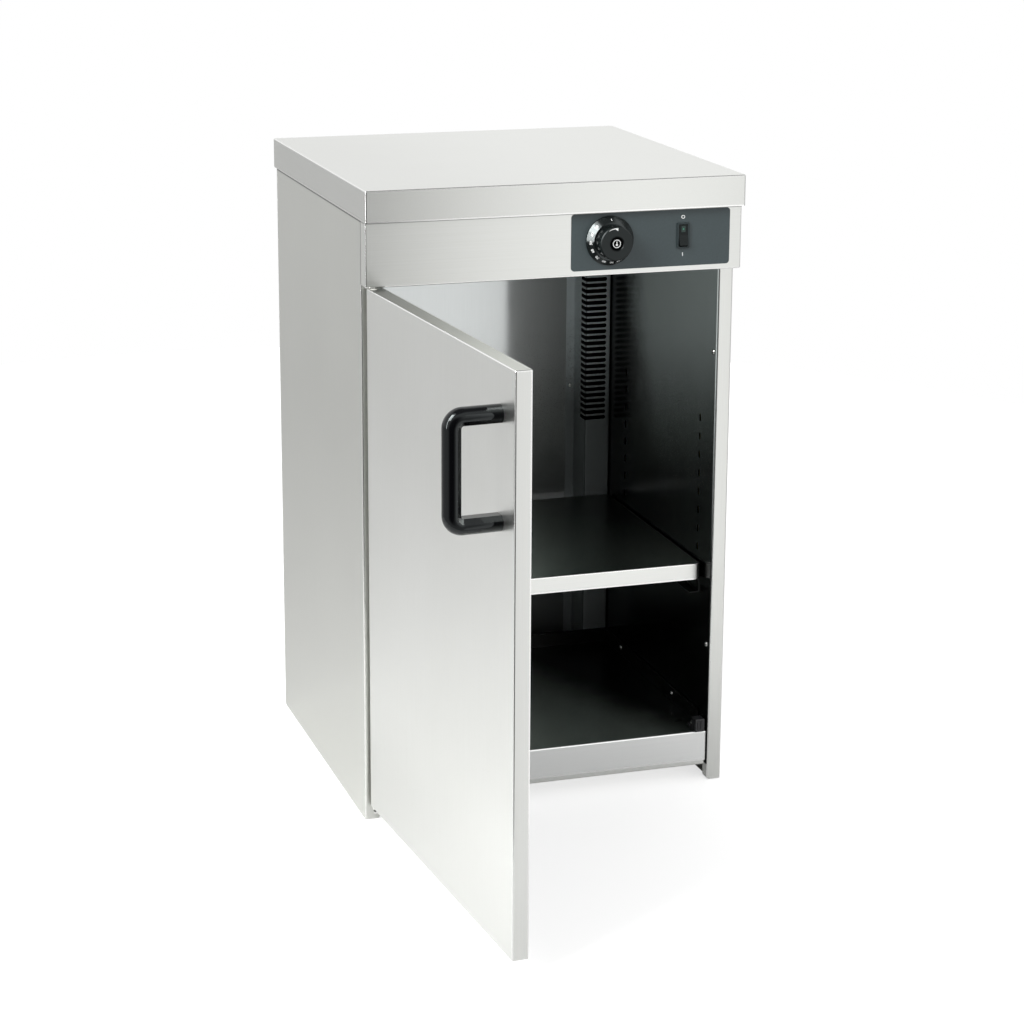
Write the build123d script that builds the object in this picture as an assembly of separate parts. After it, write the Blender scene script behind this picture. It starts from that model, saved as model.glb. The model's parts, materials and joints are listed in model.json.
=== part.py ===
from build123d import *
import os
from math import cos, radians, sin

# Plate warmer cabinet: a double-walled, free-standing steel cabinet with one side-hung door, a slotted
# heating duct in each rear corner of the chamber, one shelf and a thermostat in the fascia.
#
# Frame: +X to the right of someone facing the door, +Y to the rear, +Z up. The origin is on the floor,
# under the middle of the cabinet body. The door stands open in the rest pose. All lengths are
# millimetres, angles degrees.

os.makedirs("parts", exist_ok=True)

# ------------------------------------------------------------------ driving dimensions
# Body
BODY_WIDTH = 450.0          # over the two side panels
BODY_DEPTH = 412.0          # from the front of the stiles to the back panel
BODY_HEIGHT = 750.0         # floor to the top of the worktop
SHEET = 1.0                 # outer sheet and liner sheet
SHEET_BEND = 1.5            # centre-line radius of a bend in the sheet
STILE_WIDTH = 18.0          # front flange of a side panel, which also sets the depth of the cavity
STILE_RETURN = 14.0         # flange behind the stile that takes the liner screws
STILE_CORNER = 4.0          # rounding at the foot of a stile
REAR_FLANGE = 14.0
FOOT_FLANGE = 13.0          # flange at the floor, on which the cabinet stands

# Worktop
TOP_SIDE_OVERHANG = 1.5
TOP_FRONT_OVERHANG = 28.0
TOP_REAR_OVERHANG = 10.0
TOP_LIP = 36.0              # height of the folded lip
TOP_EDGE = 1.4              # rounding of the folded edges
TOP_CORNER = 2.2            # rounding of the welded corners
TOP_HEM = 5.0               # inward hem along the front and rear lips
TOP_NOTCH = 4.0             # chamfer at the lower rear corners of the lip

# Fascia and control plate
FASCIA_PROUD = 21.0         # how far the fascia stands in front of the stiles
FASCIA_HEIGHT = 109.0
FASCIA_EDGE = 1.6
PLATE_FROM_SIDE = 15.0      # right edge of the plate inside the side panel's face
PLATE_WIDTH = 193.5
PLATE_FROM_FOOT = 6.5       # lower edge of the plate above the foot of the fascia
PLATE_HEIGHT = 65.5
PLATE_THICK = 0.8
PLATE_CORNER = 4.0

# Thermostat and dial
DIAL_FROM_SIDE = 46.0       # middle of the dial from the plate's left edge
DIAL_FROM_FOOT = 34.0       # middle of the dial above the plate's lower edge
DIAL_RADIUS = 28.5
DIAL_EDGE = 1.4             # thickness of the skirt at its rim
DIAL_SKIRT = 8.0            # height of the conical skirt
DIAL_SKIRT_TOP = 21.8       # radius at the top of the skirt
KNOB_RADIUS = 20.4
KNOB_HEIGHT = 25.0          # from the control plate to the face of the knob
KNOB_TAPER = 0.9
KNOB_CHAMFER = 1.0
KNOB_RECESS = 8.6           # radius of the dished centre
KNOB_RECESS_DEPTH = 0.8
KNOB_WALL = 2.0
KNOB_HUB = 6.5
DIAL_GAP = 0.6              # running gap between dial and control plate
SHAFT_RADIUS = 3.0
SHAFT_GAP = 0.08
SHAFT_FLAT = 0.8            # depth of the flat on the shaft
BOSS_RADIUS = 4.6
BOSS_PROUD = 2.0
THERMOSTAT_WIDTH = 42.0
THERMOSTAT_HEIGHT = 33.0
THERMOSTAT_DEPTH = 30.0
THERMOSTAT_ROUND = 3.0
THERMOSTAT_SCREW_PITCH = 28.0

# Rocker switch
SWITCH_FROM_SIDE = 58.0     # middle of the switch from the plate's right edge
SWITCH_FROM_FOOT = 35.5     # middle of the switch above the plate's lower edge
BEZEL_WIDTH = 15.2
BEZEL_HEIGHT = 29.6
BEZEL_THICK = 1.8
SWITCH_BODY_WIDTH = 13.0
SWITCH_BODY_HEIGHT = 27.6
SWITCH_BODY_DEPTH = 22.0
BLADE_WIDTH = 4.8
BLADE_THICK = 0.8
BLADE_LENGTH = 7.0
ROCKER_WIDTH = 10.2
ROCKER_HEIGHT = 24.0
ROCKER_PROUD = 3.2          # how far the ends of the rocker stand out when it is level
ROCKER_DISH = 1.8
ROCKER_DEPTH = 5.0
ROCKER_TILT = 7.0           # tilt either side of level
ROCKER_GAP = 0.4
ROCKER_PIN = 1.0
LENS_WIDTH = 5.0
LENS_HEIGHT = 7.0
LENS_THICK = 1.2
LENS_PROUD = 0.2
LENS_RAISE = 1.0            # above the middle of the rocker's upper face

# Chamber
LINER_GAP = 9.0             # between the back liner's chamber face and the back panel's outer face
FLOOR_TOP = 63.0
FLOOR_SET_BACK = 3.0        # front of the floor pan behind the stiles
FLOOR_SKIRT_BOTTOM = 25.0
FLOOR_UPSTAND = 19.0
FLOOR_SIDE_GAP = 0.7
BASE_BOTTOM = 19.0
BASE_LIP = 24.0
BASE_LIP_INSET = 1.2
SLIT_LENGTH = 10.0
SLIT_WIDTH = 3.0
SLIT_CHAMFER = 0.9
SLIT_FROM_WALL = 20.5       # middle of the slit from the side wall
SLIT_SET_BACK = 44.0

# Corner ducts
DUCT_WIDTH = 35.0
DUCT_DEPTH = 43.0           # from the back wall
DUCT_BEND = 3.0
DUCT_WALL_FLANGE = 13.0
DUCT_BACK_FLANGE = 12.0
DUCT_FOOT = 1.0             # foot of the duct above the chamber floor
SLOT_PITCH = 7.7
SLOT_HEIGHT = 5.2
SLOT_CHAMFER = 1.6
SLOT_FROM_TOP = 27.3        # highest slot's middle below the ceiling
SLOT_COUNT = 32
SLOT_SIDE_RUN = 20.0        # length of a slot along the duct's side face
SLOT_MARGIN = 6.3           # plain strip between the slots and the side wall

# Shelf, runners and the rows of hanging slots
SHELF_HEIGHT = 270.0        # top of the shelf above the floor
SHELF_LIP = 20.0
SHELF_SET_BACK = 26.0
SHELF_REAR_GAP = 4.0
SHELF_SIDE_GAP = 2.0
SHELF_CORNER = 6.0
SHELF_EDGE = 1.6
SHELF_HEM = 8.0
RUNNER_SHEET = 1.2
RUNNER_HEIGHT = 20.0
RUNNER_FLANGE = 12.0
RUNNER_SET_BACK = 36.0
RUNNER_REAR_GAP = 14.0      # end of the runner in front of the duct
HANG_PITCH = 23.0
HANG_COUNT = 10
HANG_FROM_STILE = 45.0      # front row of hanging slots behind the stiles
HANG_FROM_DUCT = 60.0       # rear row of hanging slots in front of the ducts
HANG_HEIGHT = 9.0
HANG_WIDTH = 5.0
HANG_CHAMFER = 1.4
HOOK_WIDTH = 4.0
HOOK_HEIGHT = 5.0
HOOK_REACH = 2.4

# Heating
HEATER_RADIUS = 4.0
HEATER_RUN_PITCH = 18.0
HEATER_END_GAP = 31.0       # end of the heater from the side wall
HEATER_HEIGHT = 26.0        # above the base plate
HEATER_BRACKET_INSET = 55.0 # bracket inside the heater's end
HEATER_BRACKET_THICK = 1.5

# Door
DOOR_THICK = 18.0
DOOR_BOTTOM = 20.0
DOOR_TOP_GAP = 2.0          # between the door and the fascia above it
DOOR_INSET = 2.5            # edges of the closed door inside the side panels' faces
DOOR_EDGE = 1.6             # rounding of the door's folded edges
DOOR_CORNER = 1.8           # rounding of its welded corners
DOOR_COVER_GAP = 0.3
DOOR_OPEN = 86.0            # opening angle in the rest pose
PIVOT_FROM_EDGE = 8.0
PIVOT_FROM_FACE = 5.5
PIN_RADIUS = 3.0
PIN_GAP = 0.05
PIN_REACH = 12.0            # how far a pin stands in the door
PIN_HEAD_RADIUS = 4.2
PIN_HEAD = 2.0
BUSH_RADIUS = 3.8
BUSH_FLANGE_RADIUS = 5.2
BUSH_FLANGE = 0.7
BUSH_GAP = 0.3              # running gap under the bush's flange
BRACKET_THICK = 2.5
BRACKET_ARM = 20.0          # width of the lower bracket's arm
BRACKET_REACH = 30.0        # how far the lower bracket reaches under the base
BRACKET_LENGTH = 44.0       # length of the upper bracket from the pin
LOWER_SCREWS = (11.0, 22.0) # set-backs of the lower bracket's screws
UPPER_SCREWS = (17.0, 34.0) # distances of the upper bracket's screws from the pin

# Handle
HANDLE_FROM_EDGE = 39.0     # centre of the handle from the free edge of the door
HANDLE_FROM_TOP = 50.0      # centre of the upper arm below the door's top
HANDLE_SPAN = 112.0         # between the two arms' centres
HANDLE_REACH = 52.0         # door face to the grip's centre
HANDLE_BEND = 12.0
GRIP_WIDTH = 20.0
GRIP_THICK = 18.0
GRIP_FLAT = 12.0            # flat on the finger side
GRIP_CHAMFER = 5.0
HANDLE_SCREW_RADIUS = 2.5
HANDLE_SCREW_LENGTH = 12.0

# Catch
CATCH_WIDTH = 11.5
CATCH_LENGTH = 28.0
CATCH_HEIGHT = 16.0
CATCH_FOOT = 3.0
CATCH_SCREW_SHARES = (0.62, 0.87)
CATCH_SIDE_GAP = 1.4
POLE_WIDTH = 2.0
POLE_INSET = 3.0            # poles inside the top and bottom of the catch
POLE_PROUD = 1.0
CATCH_GAP = 0.3             # between the poles and the striker when the door is shut
STRIKER_THICK = 2.5
STRIKER_HEIGHT = 16.0
STRIKER_WIDTH = 14.0
STRIKER_CORNER = 2.0

# Insulation, supply and small parts
INSULATION_SIDE = 12.5
INSULATION_TOP = 30.0
INSULATION_TOP_SET_BACK = 110.0
INSULATION_MARGIN = 5.0
GLAND_FROM_SIDE = 75.0      # middle of the gland inside the right side panel's face
GLAND_FROM_CEILING = 52.0
GLAND_THREAD = 8.0
GLAND_HEX = 11.0
GLAND_LENGTH = 14.0
GLAND_NUT = 4.0
GLAND_CHAMFER = 3.0
CABLE_RADIUS = 4.0
TERMINAL_LENGTH = 30.0
TERMINAL_DEPTH = 18.0
TERMINAL_HEIGHT = 16.0
TERMINAL_SET_BACK = 44.0
TERMINAL_WELL = 2.2         # radius of a screw well
SENSOR_ASIDE = 32.5         # bulb to the left of the dial's middle
SENSOR_SET_BACK = 52.0
SENSOR_RADIUS = 3.0
SENSOR_LENGTH = 80.0
SENSOR_DROP = 7.0           # bulb's axis under the ceiling
CLIP_SHARES = (0.25, 0.75)  # places of the clips along the bulb
CAPILLARY_RADIUS = 0.9
CAPILLARY_BEND = 5.0
SCREW_HEAD_RADIUS = 3.3
SCREW_HEAD = 2.2
SCREW_CROWN_RADIUS = 1.8    # flat on the crown of a head
SCREW_CHAMFER = 0.8         # on a cylindrical head
SCREW_RADIUS = 1.5
SCREW_LENGTH = 6.0
SCREW_GAP = 0.1
LINER_SCREW_SET_BACK = 9.0
LINER_SCREW_FROM_FLOOR = 172.0
LINER_SCREW_FROM_CEILING = 105.0
FLOOR_SCREW_FROM_STILE = 115.0
FLOOR_SCREW_FROM_DUCT = 60.0
DUCT_SCREW_HEIGHTS = (150.0, 410.0)
BACK_SCREW_ROWS = 4

# ------------------------------------------------------------------ planes and places worked out from the above
LEFT = -BODY_WIDTH / 2
RIGHT = BODY_WIDTH / 2
FRONT = -BODY_DEPTH / 2
REAR = BODY_DEPTH / 2
CHAMBER_HALF = BODY_WIDTH / 2 - STILE_WIDTH - SHEET
CHAMBER_REAR = REAR - LINER_GAP
CARCASS_TOP = BODY_HEIGHT - SHEET
FASCIA_BOTTOM = CARCASS_TOP - FASCIA_HEIGHT
CEILING = FASCIA_BOTTOM
BASE_TOP = BASE_BOTTOM + SHEET
FASCIA_FACE = FRONT - FASCIA_PROUD
PLATE_FACE = FASCIA_FACE - PLATE_THICK
PLATE_RIGHT = RIGHT - PLATE_FROM_SIDE
PLATE_LEFT = PLATE_RIGHT - PLATE_WIDTH
PLATE_BOTTOM = FASCIA_BOTTOM + PLATE_FROM_FOOT
DIAL_X = PLATE_LEFT + DIAL_FROM_SIDE
DIAL_Z = PLATE_BOTTOM + DIAL_FROM_FOOT
SWITCH_X = PLATE_RIGHT - SWITCH_FROM_SIDE
SWITCH_Z = PLATE_BOTTOM + SWITCH_FROM_FOOT
DUCT_FRONT = CHAMBER_REAR - DUCT_DEPTH
DUCT_SIDE = CHAMBER_HALF - DUCT_WIDTH
RUNNER_TOP = SHELF_HEIGHT - SHELF_LIP
HANG_ROWS = (FRONT + HANG_FROM_STILE, DUCT_FRONT - HANG_FROM_DUCT)
HEATER_END = CHAMBER_HALF - HEATER_END_GAP
GLAND_X = RIGHT - GLAND_FROM_SIDE
GLAND_Z = CEILING + GLAND_FROM_CEILING
SENSOR_X = DIAL_X - SENSOR_ASIDE
DOOR_LEFT = LEFT + DOOR_INSET
DOOR_RIGHT = RIGHT - DOOR_INSET
DOOR_FACE = FASCIA_FACE
DOOR_BACK = DOOR_FACE + DOOR_THICK
DOOR_TOP = FASCIA_BOTTOM - DOOR_TOP_GAP
PIVOT_X = DOOR_LEFT + PIVOT_FROM_EDGE
PIVOT_Y = DOOR_FACE + PIVOT_FROM_FACE
HANDLE_X = DOOR_RIGHT - HANDLE_FROM_EDGE
HANDLE_ARMS = (DOOR_TOP - HANDLE_FROM_TOP - HANDLE_SPAN, DOOR_TOP - HANDLE_FROM_TOP)
CATCH_X = CHAMBER_HALF - FLOOR_SIDE_GAP - SHEET - CATCH_SIDE_GAP - CATCH_WIDTH / 2
CATCH_FRONT = DOOR_BACK + STRIKER_THICK + CATCH_GAP + POLE_PROUD


# ------------------------------------------------------------------ shared forms
def block(x0, x1, y0, y1, z0, z1):
    """Rectangular solid between two opposite corners."""
    return Pos((x0 + x1) / 2, (y0 + y1) / 2, (z0 + z1) / 2) * Box(x1 - x0, y1 - y0, z1 - z0)


def rod(x, y, z0, z1, radius):
    """Upright cylinder."""
    return Pos(x, y, (z0 + z1) / 2) * Cylinder(radius, z1 - z0)


def rod_x(x0, x1, y, z, radius):
    """Cylinder along X."""
    return Pos((x0 + x1) / 2, y, z) * Rot(0, 90, 0) * Cylinder(radius, x1 - x0)


def rod_y(x, y0, y1, z, radius):
    """Cylinder along Y."""
    return Pos(x, (y0 + y1) / 2, z) * Rot(90, 0, 0) * Cylinder(radius, y1 - y0)


def folded(points, sheet, bend, plane, length):
    """Sheet of even thickness, folded along a centre line that is drawn on the plane."""
    centre_line = FilletPolyline(*points, radius=bend)
    return extrude(plane * trace(centre_line, line_width=sheet), amount=length)


def tray(x0, x1, y0, y1, z0, z1, corner, edge, open_side, sheet):
    """Box of sheet with rounded corners and one open side, which is 'bottom' or 'rear'."""
    body = block(x0, x1, y0, y1, z0, z1)
    if open_side == "bottom":
        body = fillet(body.edges().filter_by(Axis.Z), corner)
        body = fillet(body.faces().sort_by(Axis.Z)[-1].edges(), edge)
        opening = body.faces().sort_by(Axis.Z)[0]
    else:
        body = fillet(body.edges().filter_by(Axis.Y), corner)
        body = fillet(body.faces().sort_by(Axis.Y)[0].edges(), edge)
        opening = body.faces().sort_by(Axis.Y)[-1]
    return offset(body, amount=-sheet, openings=opening)


def both_sides(right_hand):
    """The right-hand piece and its mirror image, as (left, right)."""
    return mirror(right_hand, about=Plane.YZ), right_hand


def slot_cutter(length, height, corner, depth):
    """Cutter for a slot with clipped corners, centred on the origin, along X."""
    outline = Rectangle(length, height)
    return extrude(chamfer(outline.vertices(), corner), amount=depth, both=True)


def dome_screw():
    """Dome-head screw along -Z, with the head's seat at z = 0."""
    profile = Polyline(
        (0, -SCREW_LENGTH),
        (SCREW_RADIUS, -SCREW_LENGTH),
        (SCREW_RADIUS, 0),
        (SCREW_HEAD_RADIUS, 0),
        (SCREW_CROWN_RADIUS, SCREW_HEAD),
        (0, SCREW_HEAD),
        close=True,
    )
    return revolve(Plane.XZ * make_face(profile), Axis.Z)


def screws(places):
    """Group of dome-head screws, one at each (x, y, z, direction of the head)."""
    return Compound([Location(Plane((x, y, z), z_dir=head)) * dome_screw() for x, y, z, head in places])


def open_door(shape):
    """A piece of the closed door, swung to the rest pose."""
    return Pos(PIVOT_X, PIVOT_Y) * Rot(0, 0, -DOOR_OPEN) * Pos(-PIVOT_X, -PIVOT_Y) * shape


# ------------------------------------------------------------------ where the screws sit
def liner_screw_places():
    """Screws that hold the side walls to the returns of the stiles."""
    places = []
    for side in (-1, 1):
        for height in (LINER_SCREW_FROM_FLOOR, CEILING - LINER_SCREW_FROM_CEILING):
            places.append((side * CHAMBER_HALF, FRONT + LINER_SCREW_SET_BACK, height, (-side, 0, 0)))
    return places


def floor_screw_places():
    """Screws through the floor pan's side upstands."""
    seat = CHAMBER_HALF - FLOOR_SIDE_GAP - SHEET
    places = []
    for side in (-1, 1):
        for y in (FRONT + FLOOR_SCREW_FROM_STILE, DUCT_FRONT - FLOOR_SCREW_FROM_DUCT):
            places.append((side * seat, y, FLOOR_TOP + FLOOR_UPSTAND / 2, (-side, 0, 0)))
    return places


def duct_screw_places():
    """Screws through the ducts' flanges on the back wall."""
    places = []
    for side in (-1, 1):
        for height in DUCT_SCREW_HEIGHTS:
            x = side * (DUCT_SIDE - DUCT_BACK_FLANGE / 2)
            places.append((x, CHAMBER_REAR - SHEET, height, (0, -1, 0)))
    return places


def back_screw_places():
    """Screws round the edge of the back panel."""
    inset = REAR_FLANGE / 2
    step = (CARCASS_TOP - TOP_LIP - 2 * inset) / (BACK_SCREW_ROWS - 1)
    places = []
    for side in (-1, 1):
        for row in range(BACK_SCREW_ROWS):
            places.append((side * (RIGHT - inset), REAR, inset + row * step, (0, 1, 0)))
    return places


def thermostat_screw_places():
    """Screws that clamp the thermostat behind the fascia, hidden under the dial."""
    half = THERMOSTAT_SCREW_PITCH / 2
    return [(DIAL_X + side * half, PLATE_FACE, DIAL_Z, (0, -1, 0)) for side in (-1, 1)]


def catch_screw_places():
    """Screws through the foot of the catch."""
    seat = FLOOR_TOP + CATCH_FOOT
    return [(CATCH_X, CATCH_FRONT + CATCH_LENGTH * share, seat, (0, 0, 1)) for share in CATCH_SCREW_SHARES]


def screw_holes(places):
    """Clearance holes for the shanks of a group of dome-head screws."""
    hole = Cylinder(SCREW_RADIUS + SCREW_GAP, 2 * SCREW_LENGTH)
    return [Location(Plane((x, y, z), z_dir=head)) * hole for x, y, z, head in places]


# ------------------------------------------------------------------ outer casing
def make_worktop():
    """Folded cover with a lip all round, a hem along its front and rear and clipped rear corners."""
    x = RIGHT + TOP_SIDE_OVERHANG
    y0 = FRONT - TOP_FRONT_OVERHANG
    y1 = REAR + TOP_REAR_OVERHANG
    z0 = BODY_HEIGHT - TOP_LIP
    cover = tray(-x, x, y0, y1, z0, BODY_HEIGHT, TOP_CORNER, TOP_EDGE, "bottom", SHEET)
    hem_half = x - SHEET - TOP_CORNER
    for start in (y0 + SHEET / 2, y1 - SHEET / 2 - TOP_HEM):
        cover += block(-hem_half, hem_half, start, start + TOP_HEM, z0, z0 + SHEET)
    notch = Plane.YZ * make_face(Polyline((y1, z0), (y1 - TOP_NOTCH, z0), (y1, z0 + TOP_NOTCH), close=True))
    for edge in (-x - SHEET, x - SHEET):
        cover -= Pos(edge, 0, 0) * extrude(notch, amount=2 * SHEET)
    return cover


def make_side_panels():
    """Right side panel, folded to a stile at the front and flanges at the rear, foot and top; and its mirror."""
    half = SHEET / 2
    inner = RIGHT - STILE_WIDTH + half
    rear_flange = REAR - SHEET - half
    section = [
        (inner, FRONT + STILE_RETURN),
        (inner, FRONT + half),
        (RIGHT - half, FRONT + half),
        (RIGHT - half, rear_flange),
        (RIGHT - REAR_FLANGE, rear_flange),
    ]
    panel = folded(section, SHEET, SHEET_BEND, Plane.XY, CARCASS_TOP)
    for z in (0, CARCASS_TOP - SHEET):
        panel += block(RIGHT - FOOT_FLANGE, RIGHT - half, FRONT + half, rear_flange, z, z + SHEET)
    corner_x = RIGHT - STILE_WIDTH
    corner = block(corner_x, corner_x + STILE_CORNER, FRONT, FRONT + STILE_RETURN, 0, STILE_CORNER)
    corner -= rod_y(corner_x + STILE_CORNER, FRONT, FRONT + STILE_RETURN, STILE_CORNER, STILE_CORNER)
    panel -= corner
    panel -= screw_holes(liner_screw_places() + back_screw_places())
    return both_sides(panel)


def make_back_panel():
    """Flat rear panel, screwed to the side panels' flanges, with the hole for the cable gland."""
    panel = block(LEFT, RIGHT, REAR - SHEET, REAR, SHEET, CARCASS_TOP - SHEET)
    panel -= rod_y(GLAND_X, REAR - 2 * SHEET, REAR + SHEET, GLAND_Z, GLAND_THREAD + SCREW_GAP)
    return panel - screw_holes(back_screw_places())


def make_fascia():
    """Tray-shaped fascia above the door, open at the rear, cut for the controls and the upper pivot."""
    fascia = tray(
        LEFT, RIGHT, FASCIA_FACE, FRONT, FASCIA_BOTTOM, CARCASS_TOP, SHEET_BEND, FASCIA_EDGE, "rear", SHEET
    )
    fascia -= control_cuts(FASCIA_FACE - SHEET, FASCIA_FACE + 2 * SHEET)
    foot = FASCIA_BOTTOM
    fascia -= rod(PIVOT_X, PIVOT_Y, foot - SHEET, foot + 2 * SHEET, PIN_RADIUS + PIN_GAP)
    return fascia - hinge_screw_holes()


def control_cuts(y0, y1):
    """Openings for the thermostat's boss and screws and for the switch."""
    half_width = SWITCH_BODY_WIDTH / 2 + SCREW_GAP
    half_height = SWITCH_BODY_HEIGHT / 2 + SCREW_GAP
    window = block(
        SWITCH_X - half_width, SWITCH_X + half_width, y0, y1, SWITCH_Z - half_height, SWITCH_Z + half_height
    )
    boss = rod_y(DIAL_X, y0, y1, DIAL_Z, BOSS_RADIUS + SCREW_GAP)
    return [window, boss] + screw_holes(thermostat_screw_places())


def make_control_plate():
    """Dark plate with rounded corners that lies on the fascia."""
    centre_x = PLATE_LEFT + PLATE_WIDTH / 2
    centre_z = PLATE_BOTTOM + PLATE_HEIGHT / 2
    outline = RectangleRounded(PLATE_WIDTH, PLATE_HEIGHT, PLATE_CORNER)
    plane = Plane(origin=(centre_x, FASCIA_FACE, centre_z), x_dir=(1, 0, 0), z_dir=(0, -1, 0))
    plate = extrude(plane * outline, amount=PLATE_THICK)
    return plate - control_cuts(PLATE_FACE - SHEET, FASCIA_FACE + SHEET)


# ------------------------------------------------------------------ chamber
def hanging_heights():
    """Heights of the hanging slots; the lowest pair takes the runner's hooks."""
    first = RUNNER_TOP - RUNNER_HEIGHT / 2
    return [first + row * HANG_PITCH for row in range(HANG_COUNT)]


def make_side_liners():
    """Side wall of the chamber with two rows of hanging slots, and its mirror."""
    x = CHAMBER_HALF
    wall = block(x, x + SHEET, FRONT + SHEET, CHAMBER_REAR + SHEET, BASE_TOP, CEILING)
    slot = slot_cutter(HANG_HEIGHT, HANG_WIDTH, HANG_CHAMFER, 2 * SHEET)
    slots = []
    for y in HANG_ROWS:
        for height in hanging_heights():
            slots.append(Pos(x, y, height) * Rot(0, 90, 0) * slot)
    wall -= slots
    wall -= screw_holes(liner_screw_places() + floor_screw_places())
    return both_sides(wall)


def make_back_liner():
    """Back wall of the chamber."""
    wall = block(-CHAMBER_HALF, CHAMBER_HALF, CHAMBER_REAR, CHAMBER_REAR + SHEET, BASE_TOP, CEILING)
    return wall - screw_holes(duct_screw_places())


def make_ceiling():
    """Ceiling of the chamber, which carries the terminal block and lets the capillary through."""
    half = CHAMBER_HALF + SHEET
    ceiling = block(-half, half, FRONT, CHAMBER_REAR + SHEET, CEILING, CEILING + SHEET)
    y = FRONT + SENSOR_SET_BACK
    return ceiling - rod(SENSOR_X, y, CEILING - SHEET, CEILING + 2 * SHEET, 2 * CAPILLARY_RADIUS)


def make_floor_pan():
    """Chamber floor: skirt at the front, upstands at the rear and sides, and a slit by the catch."""
    half_sheet = SHEET / 2
    half = CHAMBER_HALF - FLOOR_SIDE_GAP
    skirt_y = FRONT + FLOOR_SET_BACK + half_sheet
    floor_z = FLOOR_TOP - half_sheet
    rear_y = DUCT_FRONT - half_sheet
    section = [
        (skirt_y, FLOOR_SKIRT_BOTTOM),
        (skirt_y, floor_z),
        (rear_y, floor_z),
        (rear_y, FLOOR_TOP + FLOOR_UPSTAND),
    ]
    pan = folded(section, SHEET, SHEET_BEND, Plane.YZ.offset(-half), 2 * half)
    upstand_start = CATCH_FRONT + CATCH_LENGTH
    for x0 in (-half, half - SHEET):
        pan += block(x0, x0 + SHEET, upstand_start, rear_y, floor_z, FLOOR_TOP + FLOOR_UPSTAND)
    slit = slot_cutter(SLIT_LENGTH, SLIT_WIDTH, SLIT_CHAMFER, 2 * SHEET)
    pan -= Pos(CHAMBER_HALF - SLIT_FROM_WALL, FRONT + SLIT_SET_BACK, FLOOR_TOP) * slit
    return pan - screw_holes(floor_screw_places() + catch_screw_places())


def make_base_plate():
    """Base under the chamber floor; its lip shows as a narrow strip under the floor pan's skirt."""
    half_sheet = SHEET / 2
    half = CHAMBER_HALF - FLOOR_SIDE_GAP - BASE_LIP_INSET
    lip_y = FRONT + FLOOR_SET_BACK + SHEET + half_sheet
    base_z = BASE_BOTTOM + half_sheet
    section = [(lip_y, BASE_BOTTOM + BASE_LIP), (lip_y, base_z), (CHAMBER_REAR + SHEET, base_z)]
    plate = folded(section, SHEET, SHEET_BEND, Plane.YZ.offset(-half), 2 * half)
    wide = CHAMBER_HALF + SHEET
    plate += block(-wide, wide, FRONT + STILE_RETURN, CHAMBER_REAR + SHEET, BASE_BOTTOM, BASE_TOP)
    return plate - hinge_screw_holes()


def make_corner_ducts():
    """Slotted hot-air duct in the right rear corner, and its mirror. Each slot wraps round the duct's bend."""
    half = SHEET / 2
    section = [
        (CHAMBER_HALF - half, DUCT_FRONT + DUCT_WALL_FLANGE),
        (CHAMBER_HALF - half, DUCT_FRONT + half),
        (DUCT_SIDE + half, DUCT_FRONT + half),
        (DUCT_SIDE + half, CHAMBER_REAR - half),
        (DUCT_SIDE - DUCT_BACK_FLANGE, CHAMBER_REAR - half),
    ]
    foot = FLOOR_TOP + DUCT_FOOT
    duct = folded(section, SHEET, DUCT_BEND, Plane.XY.offset(foot), CEILING - foot)
    reach = DUCT_BEND + 2 * SHEET
    front_run = CHAMBER_HALF - SLOT_MARGIN - DUCT_SIDE + reach
    side_run = SLOT_SIDE_RUN + reach
    front_x = CHAMBER_HALF - SLOT_MARGIN - front_run / 2
    side_y = DUCT_FRONT + SLOT_SIDE_RUN - side_run / 2
    corner = Plane(origin=(front_x, DUCT_FRONT, 0), x_dir=(1, 0, 0), z_dir=(0, 1, 0))
    flank = Plane(origin=(DUCT_SIDE, side_y, 0), x_dir=(0, 1, 0), z_dir=(1, 0, 0))
    cutter = Location(corner) * slot_cutter(front_run, SLOT_HEIGHT, SLOT_CHAMFER, reach)
    cutter += Location(flank) * slot_cutter(side_run, SLOT_HEIGHT, SLOT_CHAMFER, reach)
    highest = CEILING - SLOT_FROM_TOP
    duct -= [Pos(0, 0, highest - row * SLOT_PITCH) * cutter for row in range(SLOT_COUNT)]
    duct -= screw_holes(duct_screw_places())
    return both_sides(duct)


def make_shelf():
    """Shelf with a lip all round and a hem under its front."""
    half = CHAMBER_HALF - SHELF_SIDE_GAP
    y0 = FRONT + SHELF_SET_BACK
    y1 = DUCT_FRONT - SHELF_REAR_GAP
    shelf = tray(-half, half, y0, y1, RUNNER_TOP, SHELF_HEIGHT, SHELF_CORNER, SHELF_EDGE, "bottom", SHEET)
    hem_half = half - SHELF_CORNER - RUNNER_FLANGE
    return shelf + block(-hem_half, hem_half, y0 + SHEET / 2, y0 + SHELF_HEM, RUNNER_TOP, RUNNER_TOP + SHEET)


def make_shelf_runners():
    """Channel that hooks into the side wall and carries the shelf, and its mirror."""
    half = RUNNER_SHEET / 2
    web = CHAMBER_HALF - half
    edge = CHAMBER_HALF - RUNNER_FLANGE
    low = RUNNER_TOP - RUNNER_HEIGHT + half
    high = RUNNER_TOP - half
    section = [(edge, low), (web, low), (web, high), (edge, high)]
    start = FRONT + RUNNER_SET_BACK
    plane = Plane(origin=(0, start, 0), x_dir=(1, 0, 0), z_dir=(0, -1, 0))
    runner = folded(section, RUNNER_SHEET, SHEET_BEND, plane, start + RUNNER_REAR_GAP - DUCT_FRONT)
    z = hanging_heights()[0]
    x1 = CHAMBER_HALF + SHEET + HOOK_REACH
    for y in HANG_ROWS:
        wide = HOOK_WIDTH / 2
        tall = HOOK_HEIGHT / 2
        runner += block(web, x1, y - wide, y + wide, z - tall, z + tall)
    return both_sides(runner)


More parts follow.
